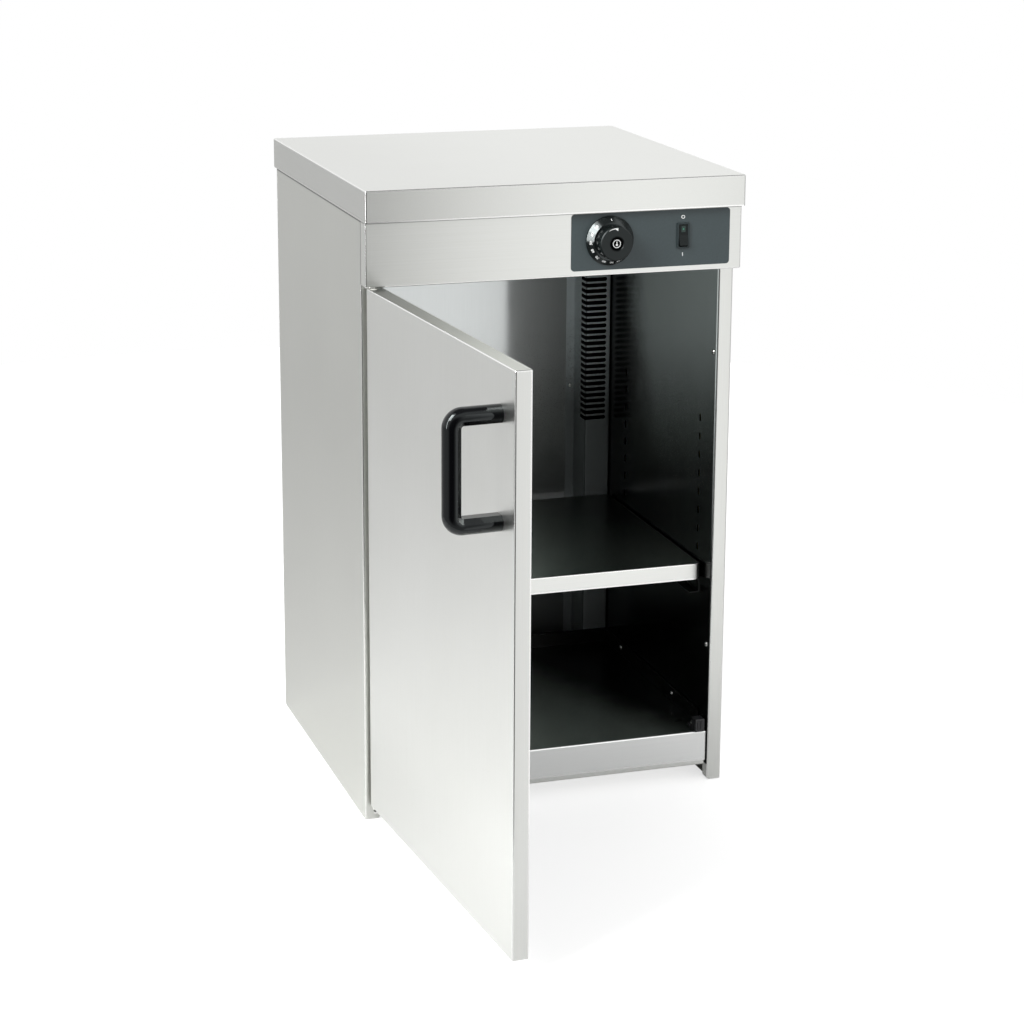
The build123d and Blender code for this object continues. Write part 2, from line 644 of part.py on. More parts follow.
# ------------------------------------------------------------------ heating, sensor and supply
def heater_runs():
    """Y positions of the heater's front and rear runs."""
    middle = (DUCT_FRONT + CHAMBER_REAR) / 2
    return middle - HEATER_RUN_PITCH / 2, middle + HEATER_RUN_PITCH / 2


def make_heating_element():
    """Hairpin tubular heater in the channel behind the floor, with a terminal pin at each end."""
    z = BASE_TOP + HEATER_HEIGHT
    front_y, rear_y = heater_runs()
    end = HEATER_END
    turn = HEATER_RUN_PITCH / 2
    path = Wire(
        [
            Edge.make_line((end, front_y, z), (-end, front_y, z)),
            Edge.make_three_point_arc(
                (-end, front_y, z), (-end - turn, front_y + turn, z), (-end, rear_y, z)
            ),
            Edge.make_line((-end, rear_y, z), (end, rear_y, z)),
        ]
    )
    section = Plane(origin=(end, front_y, z), z_dir=(-1, 0, 0)) * Circle(HEATER_RADIUS)
    heater = sweep(section, path=path)
    for y in (front_y, rear_y):
        heater += rod_x(end - HEATER_RADIUS, end + 2 * HEATER_RADIUS, y, z, HEATER_RADIUS / 3)
    return heater


def make_heater_brackets():
    """Two upright brackets on the base plate, bored for both runs of the heater."""
    front_y, rear_y = heater_runs()
    z = BASE_TOP + HEATER_HEIGHT
    y0 = front_y - 2 * HEATER_RADIUS
    y1 = rear_y + 2 * HEATER_RADIUS
    brackets = []
    for side in (-1, 1):
        x = side * (HEATER_END - HEATER_BRACKET_INSET)
        half = HEATER_BRACKET_THICK / 2
        bracket = block(x - half, x + half, y0, y1, BASE_TOP, z + 2 * HEATER_RADIUS)
        bracket += block(x - half, x + 2 * HEATER_RADIUS, y0, y1, BASE_TOP, BASE_TOP + HEATER_BRACKET_THICK)
        for y in (front_y, rear_y):
            bracket -= rod_x(x - 2 * half, x + 2 * half, y, z, HEATER_RADIUS + SCREW_GAP)
        brackets.append(bracket)
    return Compound(brackets)


def make_thermostat():
    """Thermostat behind the fascia; its boss comes through the control plate and carries the shaft."""
    y0 = FASCIA_FACE + SHEET
    half = THERMOSTAT_WIDTH / 2
    z_half = THERMOSTAT_HEIGHT / 2
    body = block(DIAL_X - half, DIAL_X + half, y0, y0 + THERMOSTAT_DEPTH, DIAL_Z - z_half, DIAL_Z + z_half)
    body = fillet(body.edges().filter_by(Axis.Y), THERMOSTAT_ROUND)
    body += rod_y(DIAL_X, PLATE_FACE - BOSS_PROUD, y0 + SHEET, DIAL_Z, BOSS_RADIUS)
    bore_end = shaft_inner_end() + SHEET
    body -= rod_y(DIAL_X, PLATE_FACE - 2 * BOSS_PROUD, bore_end, DIAL_Z, SHAFT_RADIUS + SHAFT_GAP)
    return body - screw_holes(thermostat_screw_places())


def shaft_inner_end():
    """Y of the shaft's end inside the thermostat."""
    return FASCIA_FACE + SHEET + THERMOSTAT_DEPTH / 2


def make_sensor():
    """Capillary from the thermostat through the ceiling, with the bulb under the ceiling."""
    start_y = FASCIA_FACE + SHEET + THERMOSTAT_DEPTH
    z = DIAL_Z + THERMOSTAT_HEIGHT / 4
    bulb_z = CEILING - SENSOR_DROP
    bulb_y = FRONT + SENSOR_SET_BACK + 3 * SENSOR_RADIUS
    drop_y = FRONT + SENSOR_SET_BACK
    path = FilletPolyline(
        (DIAL_X, start_y, z),
        (DIAL_X, start_y + 4 * SENSOR_RADIUS, z),
        (SENSOR_X, drop_y, CEILING + 6 * SENSOR_RADIUS),
        (SENSOR_X, drop_y, bulb_z),
        (SENSOR_X, bulb_y + SENSOR_RADIUS, bulb_z),
        radius=CAPILLARY_BEND,
    )
    section = Plane(origin=(DIAL_X, start_y, z), z_dir=(0, 1, 0)) * Circle(CAPILLARY_RADIUS)
    bulb = rod_y(SENSOR_X, bulb_y, bulb_y + SENSOR_LENGTH, bulb_z, SENSOR_RADIUS)
    return sweep(section, path=path) + bulb


def make_sensor_clips():
    """Two clips that hold the bulb under the ceiling."""
    bulb_y = FRONT + SENSOR_SET_BACK + 3 * SENSOR_RADIUS
    bulb_z = CEILING - SENSOR_DROP
    half = 2 * SENSOR_RADIUS
    z0 = bulb_z - SENSOR_RADIUS - SHEET
    clips = []
    for share in CLIP_SHARES:
        y = bulb_y + share * SENSOR_LENGTH
        clip = block(SENSOR_X - half, SENSOR_X + half, y - half / 2, y + half / 2, z0, CEILING)
        clip -= rod_y(SENSOR_X, y - half, y + half, bulb_z, SENSOR_RADIUS + SCREW_GAP)
        clips.append(clip)
    return Compound(clips)


def make_terminal_block():
    """Supply terminal block on the ceiling, with three screw wells."""
    y0 = FRONT + TERMINAL_SET_BACK
    z0 = CEILING + SHEET
    z1 = z0 + TERMINAL_HEIGHT
    half = TERMINAL_LENGTH / 2
    terminal = block(GLAND_X - half, GLAND_X + half, y0, y0 + TERMINAL_DEPTH, z0, z1)
    for step in (-1, 0, 1):
        x = GLAND_X + step * TERMINAL_LENGTH / 3
        terminal -= rod(x, y0 + TERMINAL_DEPTH / 2, z1 - TERMINAL_HEIGHT / 2, z1 + SHEET, TERMINAL_WELL)
    return terminal


def make_supply_tail():
    """Inner end of the supply cable, from the gland to the terminal block."""
    end_y = FRONT + TERMINAL_SET_BACK + TERMINAL_DEPTH
    end_z = CEILING + SHEET + TERMINAL_HEIGHT / 2
    path = FilletPolyline(
        (GLAND_X, REAR - SHEET, GLAND_Z),
        (GLAND_X, FRONT + INSULATION_TOP_SET_BACK, GLAND_Z),
        (GLAND_X, end_y + 7 * CABLE_RADIUS, end_z),
        (GLAND_X, end_y, end_z),
        radius=5 * CABLE_RADIUS,
    )
    section = Plane(origin=(GLAND_X, REAR - SHEET, GLAND_Z), z_dir=(0, -1, 0)) * Circle(CABLE_RADIUS)
    return sweep(section, path=path)


def make_gland():
    """Cable gland on the back panel: hexagon, domed nut and a thread through the panel."""
    plane = Plane(origin=(GLAND_X, REAR, GLAND_Z), x_dir=(1, 0, 0), z_dir=(0, 1, 0))
    hexagon = extrude(plane * RegularPolygon(GLAND_HEX, 6), amount=GLAND_LENGTH / 3)
    dome = Cylinder(GLAND_THREAD + SHEET, GLAND_LENGTH)
    dome = chamfer(dome.edges().sort_by(Axis.Z)[-1], GLAND_CHAMFER)
    dome = Location(plane) * Pos(0, 0, GLAND_LENGTH / 2) * dome
    gland = hexagon + dome + rod_y(GLAND_X, REAR - 2 * GLAND_NUT, REAR, GLAND_Z, GLAND_THREAD)
    reach = 2 * GLAND_LENGTH
    return gland - rod_y(GLAND_X, REAR - reach, REAR + reach, GLAND_Z, CABLE_RADIUS + SCREW_GAP)


def make_gland_nut():
    """Lock nut of the gland, inside the back panel."""
    plane = Plane(origin=(GLAND_X, REAR - SHEET, GLAND_Z), x_dir=(1, 0, 0), z_dir=(0, -1, 0))
    nut = extrude(plane * RegularPolygon(GLAND_HEX, 6), amount=GLAND_NUT)
    return nut - rod_y(GLAND_X, REAR - GLAND_LENGTH, REAR, GLAND_Z, GLAND_THREAD + SCREW_GAP)


def make_side_insulation():
    """Insulation slab in the side wall's cavity, and its mirror."""
    slab = block(
        RIGHT - SHEET - INSULATION_SIDE,
        RIGHT - SHEET,
        FRONT + STILE_RETURN + INSULATION_MARGIN,
        REAR - REAR_FLANGE,
        FLOOR_TOP,
        CEILING - INSULATION_MARGIN,
    )
    return both_sides(slab)


def make_back_insulation():
    """Insulation slab between the back wall and the back panel."""
    half = RIGHT - REAR_FLANGE - INSULATION_MARGIN
    z0 = FLOOR_TOP - INSULATION_MARGIN
    slab = block(-half, half, CHAMBER_REAR + SHEET, REAR - SHEET, z0, CEILING - INSULATION_MARGIN)
    return slab - screw_holes(duct_screw_places())


def make_top_insulation():
    """Insulation slab on the ceiling, behind the controls."""
    half = CHAMBER_HALF - INSULATION_MARGIN
    z0 = CEILING + SHEET
    return block(-half, half, FRONT + INSULATION_TOP_SET_BACK, CHAMBER_REAR, z0, z0 + INSULATION_TOP)


# ------------------------------------------------------------------ controls
def control_plane(x, z):
    """Plane on the control plate's face, with its normal towards the user."""
    return Plane(origin=(x, PLATE_FACE, z), x_dir=(1, 0, 0), z_dir=(0, -1, 0))


def make_shaft():
    """Thermostat shaft with a flat for the dial."""
    depth = shaft_inner_end() - PLATE_FACE
    reach = KNOB_HEIGHT - KNOB_WALL - KNOB_RECESS_DEPTH - 2 * DIAL_GAP
    shaft = Pos(0, 0, (reach - depth) / 2) * Cylinder(SHAFT_RADIUS, reach + depth)
    flat_start = BOSS_PROUD + DIAL_GAP
    shaft -= block(
        -SHAFT_RADIUS, SHAFT_RADIUS, SHAFT_RADIUS - SHAFT_FLAT, SHAFT_RADIUS, flat_start, reach
    )
    return Location(control_plane(DIAL_X, DIAL_Z)) * shaft


def make_dial():
    """Dial turned in one piece: conical skirt, tapered knob with a dished centre, hollow behind, and a hub."""
    top = KNOB_HEIGHT - KNOB_RECESS_DEPTH
    under = top - KNOB_WALL
    rim_inner = DIAL_RADIUS - KNOB_WALL
    face_radius = KNOB_RADIUS - KNOB_TAPER
    skirt_top = DIAL_GAP + DIAL_SKIRT
    bore = SHAFT_RADIUS + SHAFT_GAP / 2
    outline = Polyline(
        (0, top),
        (KNOB_RECESS - KNOB_RECESS_DEPTH, top),
        (KNOB_RECESS, KNOB_HEIGHT),
        (face_radius, KNOB_HEIGHT),
        (KNOB_RADIUS, skirt_top),
        (DIAL_SKIRT_TOP, skirt_top),
        (DIAL_RADIUS, DIAL_GAP + DIAL_EDGE),
        (DIAL_RADIUS, DIAL_GAP),
        (rim_inner, DIAL_GAP),
        (KNOB_RADIUS - KNOB_WALL, skirt_top - KNOB_WALL),
        (face_radius - KNOB_WALL, under),
        (KNOB_HUB, under),
        (KNOB_HUB, 2 * BOSS_PROUD),
        (bore, 2 * BOSS_PROUD),
        (bore, under),
        (0, under),
        close=True,
    )
    profile = make_face(outline)
    rim = profile.vertices().sort_by_distance((face_radius, KNOB_HEIGHT))[0]
    profile = chamfer(rim, KNOB_CHAMFER)
    return Location(control_plane(DIAL_X, DIAL_Z)) * revolve(Plane.XZ * profile, Axis.Z)


def rocker_pocket_half():
    """Half height of the switch's opening, wide enough for the rocker at either end of its travel."""
    tilt = radians(ROCKER_TILT)
    return ROCKER_HEIGHT / 2 * cos(tilt) + (ROCKER_PROUD + ROCKER_DEPTH / 2) * sin(tilt) + ROCKER_GAP


def make_switch_housing():
    """Switch housing: bezel on the plate, box behind it, opening for the rocker and three blades."""
    bezel = extrude(RectangleRounded(BEZEL_WIDTH, BEZEL_HEIGHT, SHEET), amount=BEZEL_THICK)
    box = Pos(0, 0, -SWITCH_BODY_DEPTH / 2) * Box(SWITCH_BODY_WIDTH, SWITCH_BODY_HEIGHT, SWITCH_BODY_DEPTH)
    pocket_depth = 2 * ROCKER_DEPTH
    half_width = ROCKER_WIDTH / 2 + ROCKER_GAP
    half_height = rocker_pocket_half()
    pocket = block(-half_width, half_width, -half_height, half_height, -pocket_depth, BEZEL_THICK)
    housing = bezel + box - pocket
    housing -= rod_x(-pin_reach() - SHEET, pin_reach() + SHEET, 0, -ROCKER_DEPTH / 2, ROCKER_PIN + PIN_GAP)
    for step in (-1, 0, 1):
        y = step * SWITCH_BODY_HEIGHT / 3
        blade = Box(BLADE_WIDTH, BLADE_THICK, BLADE_LENGTH + SHEET)
        housing += Pos(0, y, -SWITCH_BODY_DEPTH - (BLADE_LENGTH - SHEET) / 2) * blade
    return Location(control_plane(SWITCH_X, SWITCH_Z)) * housing


def pin_reach():
    """Distance from the switch's middle to the end of a rocker pin."""
    return ROCKER_WIDTH / 2 + ROCKER_GAP + ROCKER_PIN / 2


def tilted(shape):
    """A piece of the level rocker, tilted to 'off' with its top pressed in, and set in the plate."""
    swing = Pos(0, 0, -ROCKER_DEPTH / 2) * Rot(-ROCKER_TILT, 0, 0) * Pos(0, 0, ROCKER_DEPTH / 2)
    return Location(control_plane(SWITCH_X, SWITCH_Z)) * swing * shape


def lens_seat():
    """Middle of the lens on the sloping upper face of the rocker."""
    slope = ROCKER_DISH / (ROCKER_HEIGHT / 2)
    y = ROCKER_HEIGHT / 4 + LENS_RAISE
    z = ROCKER_PROUD - ROCKER_DISH + slope * y
    return Plane(origin=(0, y, z), x_dir=(1, 0, 0), z_dir=(0, -slope, 1))


def make_rocker():
    """Rocker with two sloping faces, a pocket for the lens and a pin at each side."""
    half = ROCKER_HEIGHT / 2
    middle = ROCKER_PROUD - ROCKER_DISH
    profile = make_face(
        Polyline(
            (-half, ROCKER_PROUD), (0, middle), (half, ROCKER_PROUD), (half, -ROCKER_DEPTH / 2),
            (half / 2, -ROCKER_DEPTH), (-half / 2, -ROCKER_DEPTH), (-half, -ROCKER_DEPTH / 2), close=True,
        )
    )
    body = extrude(Plane.YZ * profile, amount=ROCKER_WIDTH / 2, both=True)
    body += rod_x(-pin_reach(), pin_reach(), 0, -ROCKER_DEPTH / 2, ROCKER_PIN)
    pocket = Box(LENS_WIDTH + SCREW_GAP, LENS_HEIGHT + SCREW_GAP, 2 * LENS_THICK)
    return tilted(body - Location(lens_seat()) * pocket)


def make_lens():
    """Green lens in the rocker, standing a little proud of its face."""
    lens = Box(LENS_WIDTH, LENS_HEIGHT, LENS_THICK + LENS_PROUD)
    return tilted(Location(lens_seat()) * Pos(0, 0, (LENS_PROUD - LENS_THICK) / 2) * lens)


# ------------------------------------------------------------------ door, pivots and handle
def bush_hole(z):
    """Seat of a bush in the door's edge at this height."""
    return rod(PIVOT_X, PIVOT_Y, z - 2 * SHEET, z + 2 * SHEET, BUSH_RADIUS + PIN_GAP)


def make_door_pan():
    """Outer skin of the door, folded to the full thickness on all four edges."""
    pan = tray(
        DOOR_LEFT, DOOR_RIGHT, DOOR_FACE, DOOR_BACK, DOOR_BOTTOM, DOOR_TOP, DOOR_CORNER, DOOR_EDGE, "rear", SHEET
    )
    pan -= [bush_hole(DOOR_BOTTOM), bush_hole(DOOR_TOP)]
    hole_radius = HANDLE_SCREW_RADIUS + SCREW_GAP
    pan -= [rod_y(HANDLE_X, DOOR_FACE - SHEET, DOOR_FACE + 2 * SHEET, z, hole_radius) for z in HANDLE_ARMS]
    return open_door(pan)


def make_door_cover():
    """Inner cover of the door, a shallow tray set between the folded edges of the outer skin."""
    gap = SHEET + DOOR_COVER_GAP
    x0, x1 = DOOR_LEFT + gap, DOOR_RIGHT - gap
    z0, z1 = DOOR_BOTTOM + gap, DOOR_TOP - gap
    turned = tray(x0, x1, -DOOR_BACK, cover_depth() - DOOR_BACK, z0, z1, SHEET_BEND, SHEET_BEND, "rear", SHEET)
    return open_door(mirror(turned, about=Plane.XZ) - striker_screw_hole())


def cover_depth():
    """Depth of the inner cover, which stops short of the bushes."""
    return DOOR_THICK - PIVOT_FROM_FACE - BUSH_FLANGE_RADIUS


def make_door_core():
    """Filling of the door, relieved round the bushes and the handle screws."""
    side = 2 * SHEET + 3 * DOOR_COVER_GAP
    x0, x1 = DOOR_LEFT + side, DOOR_RIGHT - side
    core = block(x0, x1, DOOR_FACE + SHEET, DOOR_BACK - SHEET, DOOR_BOTTOM + side, DOOR_TOP - side)
    reach = PIN_REACH + 2 * SHEET
    notch_x = PIVOT_X + BUSH_FLANGE_RADIUS + SHEET
    for z0, z1 in [(DOOR_BOTTOM, DOOR_BOTTOM + reach), (DOOR_TOP - reach, DOOR_TOP)]:
        core -= block(DOOR_LEFT, notch_x, DOOR_FACE, DOOR_BACK, z0, z1)
    for z in HANDLE_ARMS:
        core -= rod_y(HANDLE_X, DOOR_FACE, DOOR_FACE + 2 * SCREW_LENGTH, z, 2 * SCREW_HEAD_RADIUS)
    well = rod_y(CATCH_X, DOOR_BACK - 2 * SCREW_LENGTH, DOOR_BACK, striker_middle(), SCREW_RADIUS + SCREW_GAP)
    return open_door(core - well)


def make_bush(end, inward):
    """Flanged bush at the door's lower (inward = 1) or upper (inward = -1) edge."""
    sleeve_end = end + inward * (PIN_REACH + SHEET)
    flange_end = end - inward * BUSH_FLANGE
    bush = rod(PIVOT_X, PIVOT_Y, *sorted((end, sleeve_end)), BUSH_RADIUS)
    bush += rod(PIVOT_X, PIVOT_Y, *sorted((end, flange_end)), BUSH_FLANGE_RADIUS)
    bush -= rod(PIVOT_X, PIVOT_Y, *sorted((flange_end, sleeve_end)), PIN_RADIUS + PIN_GAP)
    return open_door(bush)


def bracket_levels():
    """Undersides of the lower and the upper pivot bracket."""
    return BASE_BOTTOM - BRACKET_THICK, FASCIA_BOTTOM + SHEET


def bracket_end():
    """Radius of a bracket round its pin, clear of the bend in the fascia."""
    return PIVOT_FROM_FACE - FASCIA_EDGE


def hinge_screw_places():
    """Screws of the lower and the upper pivot bracket."""
    low, high = bracket_levels()
    x = LEFT + STILE_WIDTH + DOOR_COVER_GAP + BRACKET_ARM / 2
    lower = [(x, FRONT + set_back, low, (0, 0, -1)) for set_back in LOWER_SCREWS]
    upper = [(PIVOT_X + distance, PIVOT_Y, high + BRACKET_THICK, (0, 0, 1)) for distance in UPPER_SCREWS]
    return lower + upper


def hinge_screw():
    """Short screw along -Z that ends flush behind the bracket and one sheet."""
    head = Pos(0, 0, SCREW_HEAD / 2) * Cylinder(SCREW_HEAD_RADIUS, SCREW_HEAD)
    length = BRACKET_THICK + SHEET
    head = chamfer(head.edges().sort_by(Axis.Z)[-1], SCREW_CHAMFER)
    return head + Pos(0, 0, -length / 2) * Cylinder(SCREW_RADIUS, length)


def make_hinge_screws():
    """Screws of both pivot brackets."""
    seats = [Plane((x, y, z), z_dir=head) for x, y, z, head in hinge_screw_places()]
    return Compound([Location(seat) * hinge_screw() for seat in seats])


def hinge_screw_holes():
    """Clearance holes for the bracket screws."""
    return screw_holes(hinge_screw_places())


def make_lower_bracket():
    """Plate under the base, with a tongue that reaches in front of the left stile to carry the lower pin."""
    low = bracket_levels()[0]
    radius = bracket_end()
    x0 = LEFT + STILE_WIDTH + DOOR_COVER_GAP
    x1 = x0 + BRACKET_ARM
    tongue = Pos((PIVOT_X + x1) / 2, PIVOT_Y) * Rectangle(x1 - PIVOT_X, 2 * radius)
    tongue += Pos(PIVOT_X, PIVOT_Y) * Circle(radius)
    y1 = FRONT + BRACKET_REACH
    arm = Pos((x0 + x1) / 2, (PIVOT_Y - radius + y1) / 2) * Rectangle(x1 - x0, y1 - PIVOT_Y + radius)
    outline = tongue + arm
    outline = fillet(outline.vertices().group_by(Axis.Y)[-1], STILE_CORNER)
    plate = extrude(Plane.XY.offset(low) * outline, amount=BRACKET_THICK)
    plate -= rod(PIVOT_X, PIVOT_Y, low - SHEET, low + BRACKET_THICK + SHEET, PIN_RADIUS + PIN_GAP)
    return plate - hinge_screw_holes()


def make_upper_bracket():
    """Plate inside the fascia that carries the upper pin."""
    high = bracket_levels()[1]
    radius = bracket_end()
    x1 = PIVOT_X + BRACKET_LENGTH
    outline = Pos((PIVOT_X + x1) / 2, PIVOT_Y) * Rectangle(x1 - PIVOT_X, 2 * radius)
    outline += Pos(PIVOT_X, PIVOT_Y) * Circle(radius)
    plate = extrude(Plane.XY.offset(high) * outline, amount=BRACKET_THICK)
    plate -= rod(PIVOT_X, PIVOT_Y, high - SHEET, high + BRACKET_THICK + SHEET, PIN_RADIUS + PIN_GAP)
    return plate - hinge_screw_holes()


def make_pins():
    """Lower and upper pivot pins, headed behind their brackets."""
    low, high = bracket_levels()
    lower = rod(PIVOT_X, PIVOT_Y, low, DOOR_BOTTOM + PIN_REACH, PIN_RADIUS)
    lower += rod(PIVOT_X, PIVOT_Y, low - PIN_HEAD, low, PIN_HEAD_RADIUS)
    top = high + BRACKET_THICK
    upper = rod(PIVOT_X, PIVOT_Y, DOOR_TOP - PIN_REACH, top, PIN_RADIUS)
    upper += rod(PIVOT_X, PIVOT_Y, top, top + PIN_HEAD, PIN_HEAD_RADIUS)
    return lower, upper


def make_handle():
    """Bow handle: a D-shaped section with two creases, swept round the bow, bored for two screws."""
    low, high = HANDLE_ARMS
    grip_y = DOOR_FACE - HANDLE_REACH
    path = FilletPolyline(
        (HANDLE_X, DOOR_FACE, high),
        (HANDLE_X, grip_y, high),
        (HANDLE_X, grip_y, low),
        (HANDLE_X, DOOR_FACE, low),
        radius=HANDLE_BEND,
    )
    half = GRIP_WIDTH / 2
    deep = GRIP_THICK / 2
    crease = GRIP_CHAMFER - deep
    outline = [
        ThreePointArc((half, crease), (0, deep), (-half, crease)),
        Polyline((-half, crease), (-GRIP_FLAT / 2, -deep), (GRIP_FLAT / 2, -deep), (half, crease)),
    ]
    plane = Plane(origin=(HANDLE_X, DOOR_FACE, high), x_dir=(1, 0, 0), z_dir=(0, -1, 0))
    handle = sweep(plane * make_face(outline), path=path)
    for z in HANDLE_ARMS:
        depth = HANDLE_SCREW_LENGTH + SHEET
        handle -= rod_y(HANDLE_X, DOOR_FACE - depth, DOOR_FACE + SHEET, z, HANDLE_SCREW_RADIUS + PIN_GAP)
    return open_door(handle)


def make_handle_screws():
    """Two machine screws from inside the door's skin into the handle."""
    seat = DOOR_FACE + SHEET
    pair = []
    for z in HANDLE_ARMS:
        screw = rod_y(HANDLE_X, seat - HANDLE_SCREW_LENGTH, seat, z, HANDLE_SCREW_RADIUS)
        screw += rod_y(HANDLE_X, seat, seat + 2 * SCREW_RADIUS, z, 2 * HANDLE_SCREW_RADIUS)
        pair.append(open_door(screw))
    return Compound(pair)


def striker_middle():
    """Height of the striker and of the catch's poles."""
    return FLOOR_TOP + CATCH_HEIGHT / 2


def striker_screw_hole():
    """Hole in the door's inner cover for the striker's screw."""
    return rod_y(CATCH_X, DOOR_BACK - 2 * SHEET, DOOR_BACK + SHEET, striker_middle(), SCREW_RADIUS + SCREW_GAP)


def make_striker():
    """Steel striker on the inside of the door, opposite the catch."""
    half = STRIKER_WIDTH / 2
    z_half = STRIKER_HEIGHT / 2
    z = striker_middle()
    plate = block(CATCH_X - half, CATCH_X + half, DOOR_BACK, DOOR_BACK + STRIKER_THICK, z - z_half, z + z_half)
    plate = fillet(plate.edges().filter_by(Axis.Y), STRIKER_CORNER)
    plate -= rod_y(CATCH_X, DOOR_BACK - SHEET, DOOR_BACK + STRIKER_THICK, z, SCREW_RADIUS + SCREW_GAP)
    recess = rod_y(CATCH_X, DOOR_BACK + STRIKER_THICK / 2, DOOR_BACK + STRIKER_THICK, z, SCREW_HEAD_RADIUS)
    return open_door(plate - recess)


def make_striker_screw():
    """Screw of the striker, sunk in its recess."""
    seat = DOOR_BACK + STRIKER_THICK / 2
    z = striker_middle()
    screw = rod_y(CATCH_X, seat - SCREW_LENGTH, seat, z, SCREW_RADIUS)
    screw += rod_y(CATCH_X, seat, seat + SHEET, z, SCREW_HEAD_RADIUS - SCREW_GAP)
    return open_door(screw)


def pole_blocks(gap):
    """The two poles of the catch, or with a gap their seats in the catch's body."""
    y0 = CATCH_FRONT - POLE_PROUD
    y1 = CATCH_FRONT + CATCH_LENGTH / 3 + gap
    z0 = FLOOR_TOP + POLE_INSET - gap
    z1 = FLOOR_TOP + CATCH_HEIGHT - POLE_INSET + gap
    half = POLE_WIDTH / 2 + gap
    return [block(CATCH_X + x - half, CATCH_X + x + half, y0, y1, z0, z1) for x in (-POLE_WIDTH, POLE_WIDTH)]


def make_catch():
    """Body of the magnetic catch: a block for the poles and a foot for the screws."""
    half = CATCH_WIDTH / 2
    y1 = CATCH_FRONT + CATCH_LENGTH
    x0, x1 = CATCH_X - half, CATCH_X + half
    nose_end = CATCH_FRONT + CATCH_LENGTH / 2
    nose = block(x0, x1, CATCH_FRONT, nose_end, FLOOR_TOP, FLOOR_TOP + CATCH_HEIGHT)
    nose = fillet(nose.faces().sort_by(Axis.Z)[-1].edges(), SHEET)
    foot = block(x0, x1, CATCH_FRONT, y1, FLOOR_TOP, FLOOR_TOP + CATCH_FOOT)
    return nose + foot - pole_blocks(SCREW_GAP / 2) - screw_holes(catch_screw_places())


# ------------------------------------------------------------------ assembly
def build_parts():
    """Every sub-part of the cabinet, by the name of its node."""
    side_left, side_right = make_side_panels()
    liner_left, liner_right = make_side_liners()
    duct_left, duct_right = make_corner_ducts()
    runner_left, runner_right = make_shelf_runners()
    insulation_left, insulation_right = make_side_insulation()
    pin_lower, pin_upper = make_pins()
    return {
        "worktop": make_worktop(),
        "side_panel_left": side_left,
        "side_panel_right": side_right,
        "back_panel": make_back_panel(),
        "control_fascia": make_fascia(),
        "control_plate": make_control_plate(),
        "liner_left": liner_left,
        "liner_right": liner_right,
        "liner_back": make_back_liner(),
        "liner_ceiling": make_ceiling(),
        "floor_pan": make_floor_pan(),
        "base_plate": make_base_plate(),
        "corner_duct_left": duct_left,
        "corner_duct_right": duct_right,
        "shelf": make_shelf(),
        "shelf_runner_left": runner_left,
        "shelf_runner_right": runner_right,
        "heating_element": make_heating_element(),
        "heater_brackets": make_heater_brackets(),
        "thermostat_body": make_thermostat(),
        "thermostat_sensor": make_sensor(),
        "sensor_clips": make_sensor_clips(),
        "thermostat_shaft": make_shaft(),
        "dial_knob": make_dial(),
        "switch_housing": make_switch_housing(),
        "switch_rocker": make_rocker(),
        "pilot_lens": make_lens(),
        "terminal_block": make_terminal_block(),
        "supply_tail": make_supply_tail(),
        "cable_gland": make_gland(),
        "gland_nut": make_gland_nut(),
        "insulation_left": insulation_left,
        "insulation_right": insulation_right,
        "insulation_back": make_back_insulation(),
        "insulation_top": make_top_insulation(),
        "door_skin": make_door_pan(),
        "door_inner_cover": make_door_cover(),
        "door_core": make_door_core(),
        "door_handle": make_handle(),
        "handle_screws": make_handle_screws(),
        "pivot_bush_lower": make_bush(DOOR_BOTTOM, 1),
        "pivot_bush_upper": make_bush(DOOR_TOP, -1),
        "striker_plate": make_striker(),
        "striker_screw": make_striker_screw(),
        "hinge_bracket_lower": make_lower_bracket(),
        "hinge_bracket_upper": make_upper_bracket(),
        "pivot_pin_lower": pin_lower,
        "pivot_pin_upper": pin_upper,
        "hinge_screws": make_hinge_screws(),
        "catch_body": make_catch(),
        "catch_poles": Compound(pole_blocks(0)),
        "catch_screws": screws(catch_screw_places()),
        "liner_screws": screws(liner_screw_places()),
        "floor_pan_screws": screws(floor_screw_places()),
        "duct_screws": screws(duct_screw_places()),
        "back_panel_screws": screws(back_screw_places()),
        "thermostat_screws": screws(thermostat_screw_places()),
    }


for node, shape in build_parts().items():
    export_step(shape, f"parts/{node}.step")
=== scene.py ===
"""Plate warmer cabinet: finishes, small details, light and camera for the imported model. Metres, +Z up."""

import json
from itertools import product
from math import acos, cos, pi, radians, sin

import bmesh
import bpy
from mathutils import Matrix, Vector


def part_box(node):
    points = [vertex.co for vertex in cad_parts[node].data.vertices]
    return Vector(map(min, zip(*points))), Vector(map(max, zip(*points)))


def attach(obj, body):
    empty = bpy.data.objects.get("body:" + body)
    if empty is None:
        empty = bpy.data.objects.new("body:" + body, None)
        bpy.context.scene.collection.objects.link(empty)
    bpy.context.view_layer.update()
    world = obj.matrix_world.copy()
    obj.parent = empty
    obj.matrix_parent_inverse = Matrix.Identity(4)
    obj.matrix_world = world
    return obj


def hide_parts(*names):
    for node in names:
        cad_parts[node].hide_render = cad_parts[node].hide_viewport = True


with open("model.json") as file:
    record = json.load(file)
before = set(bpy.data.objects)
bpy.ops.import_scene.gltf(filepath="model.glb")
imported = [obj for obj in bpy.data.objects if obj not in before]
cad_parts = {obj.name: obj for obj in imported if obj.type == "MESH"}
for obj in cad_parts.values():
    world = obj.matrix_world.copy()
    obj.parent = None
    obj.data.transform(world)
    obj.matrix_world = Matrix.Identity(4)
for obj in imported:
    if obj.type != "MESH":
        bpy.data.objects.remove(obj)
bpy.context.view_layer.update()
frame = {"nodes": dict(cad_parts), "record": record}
NODES = frame["nodes"]


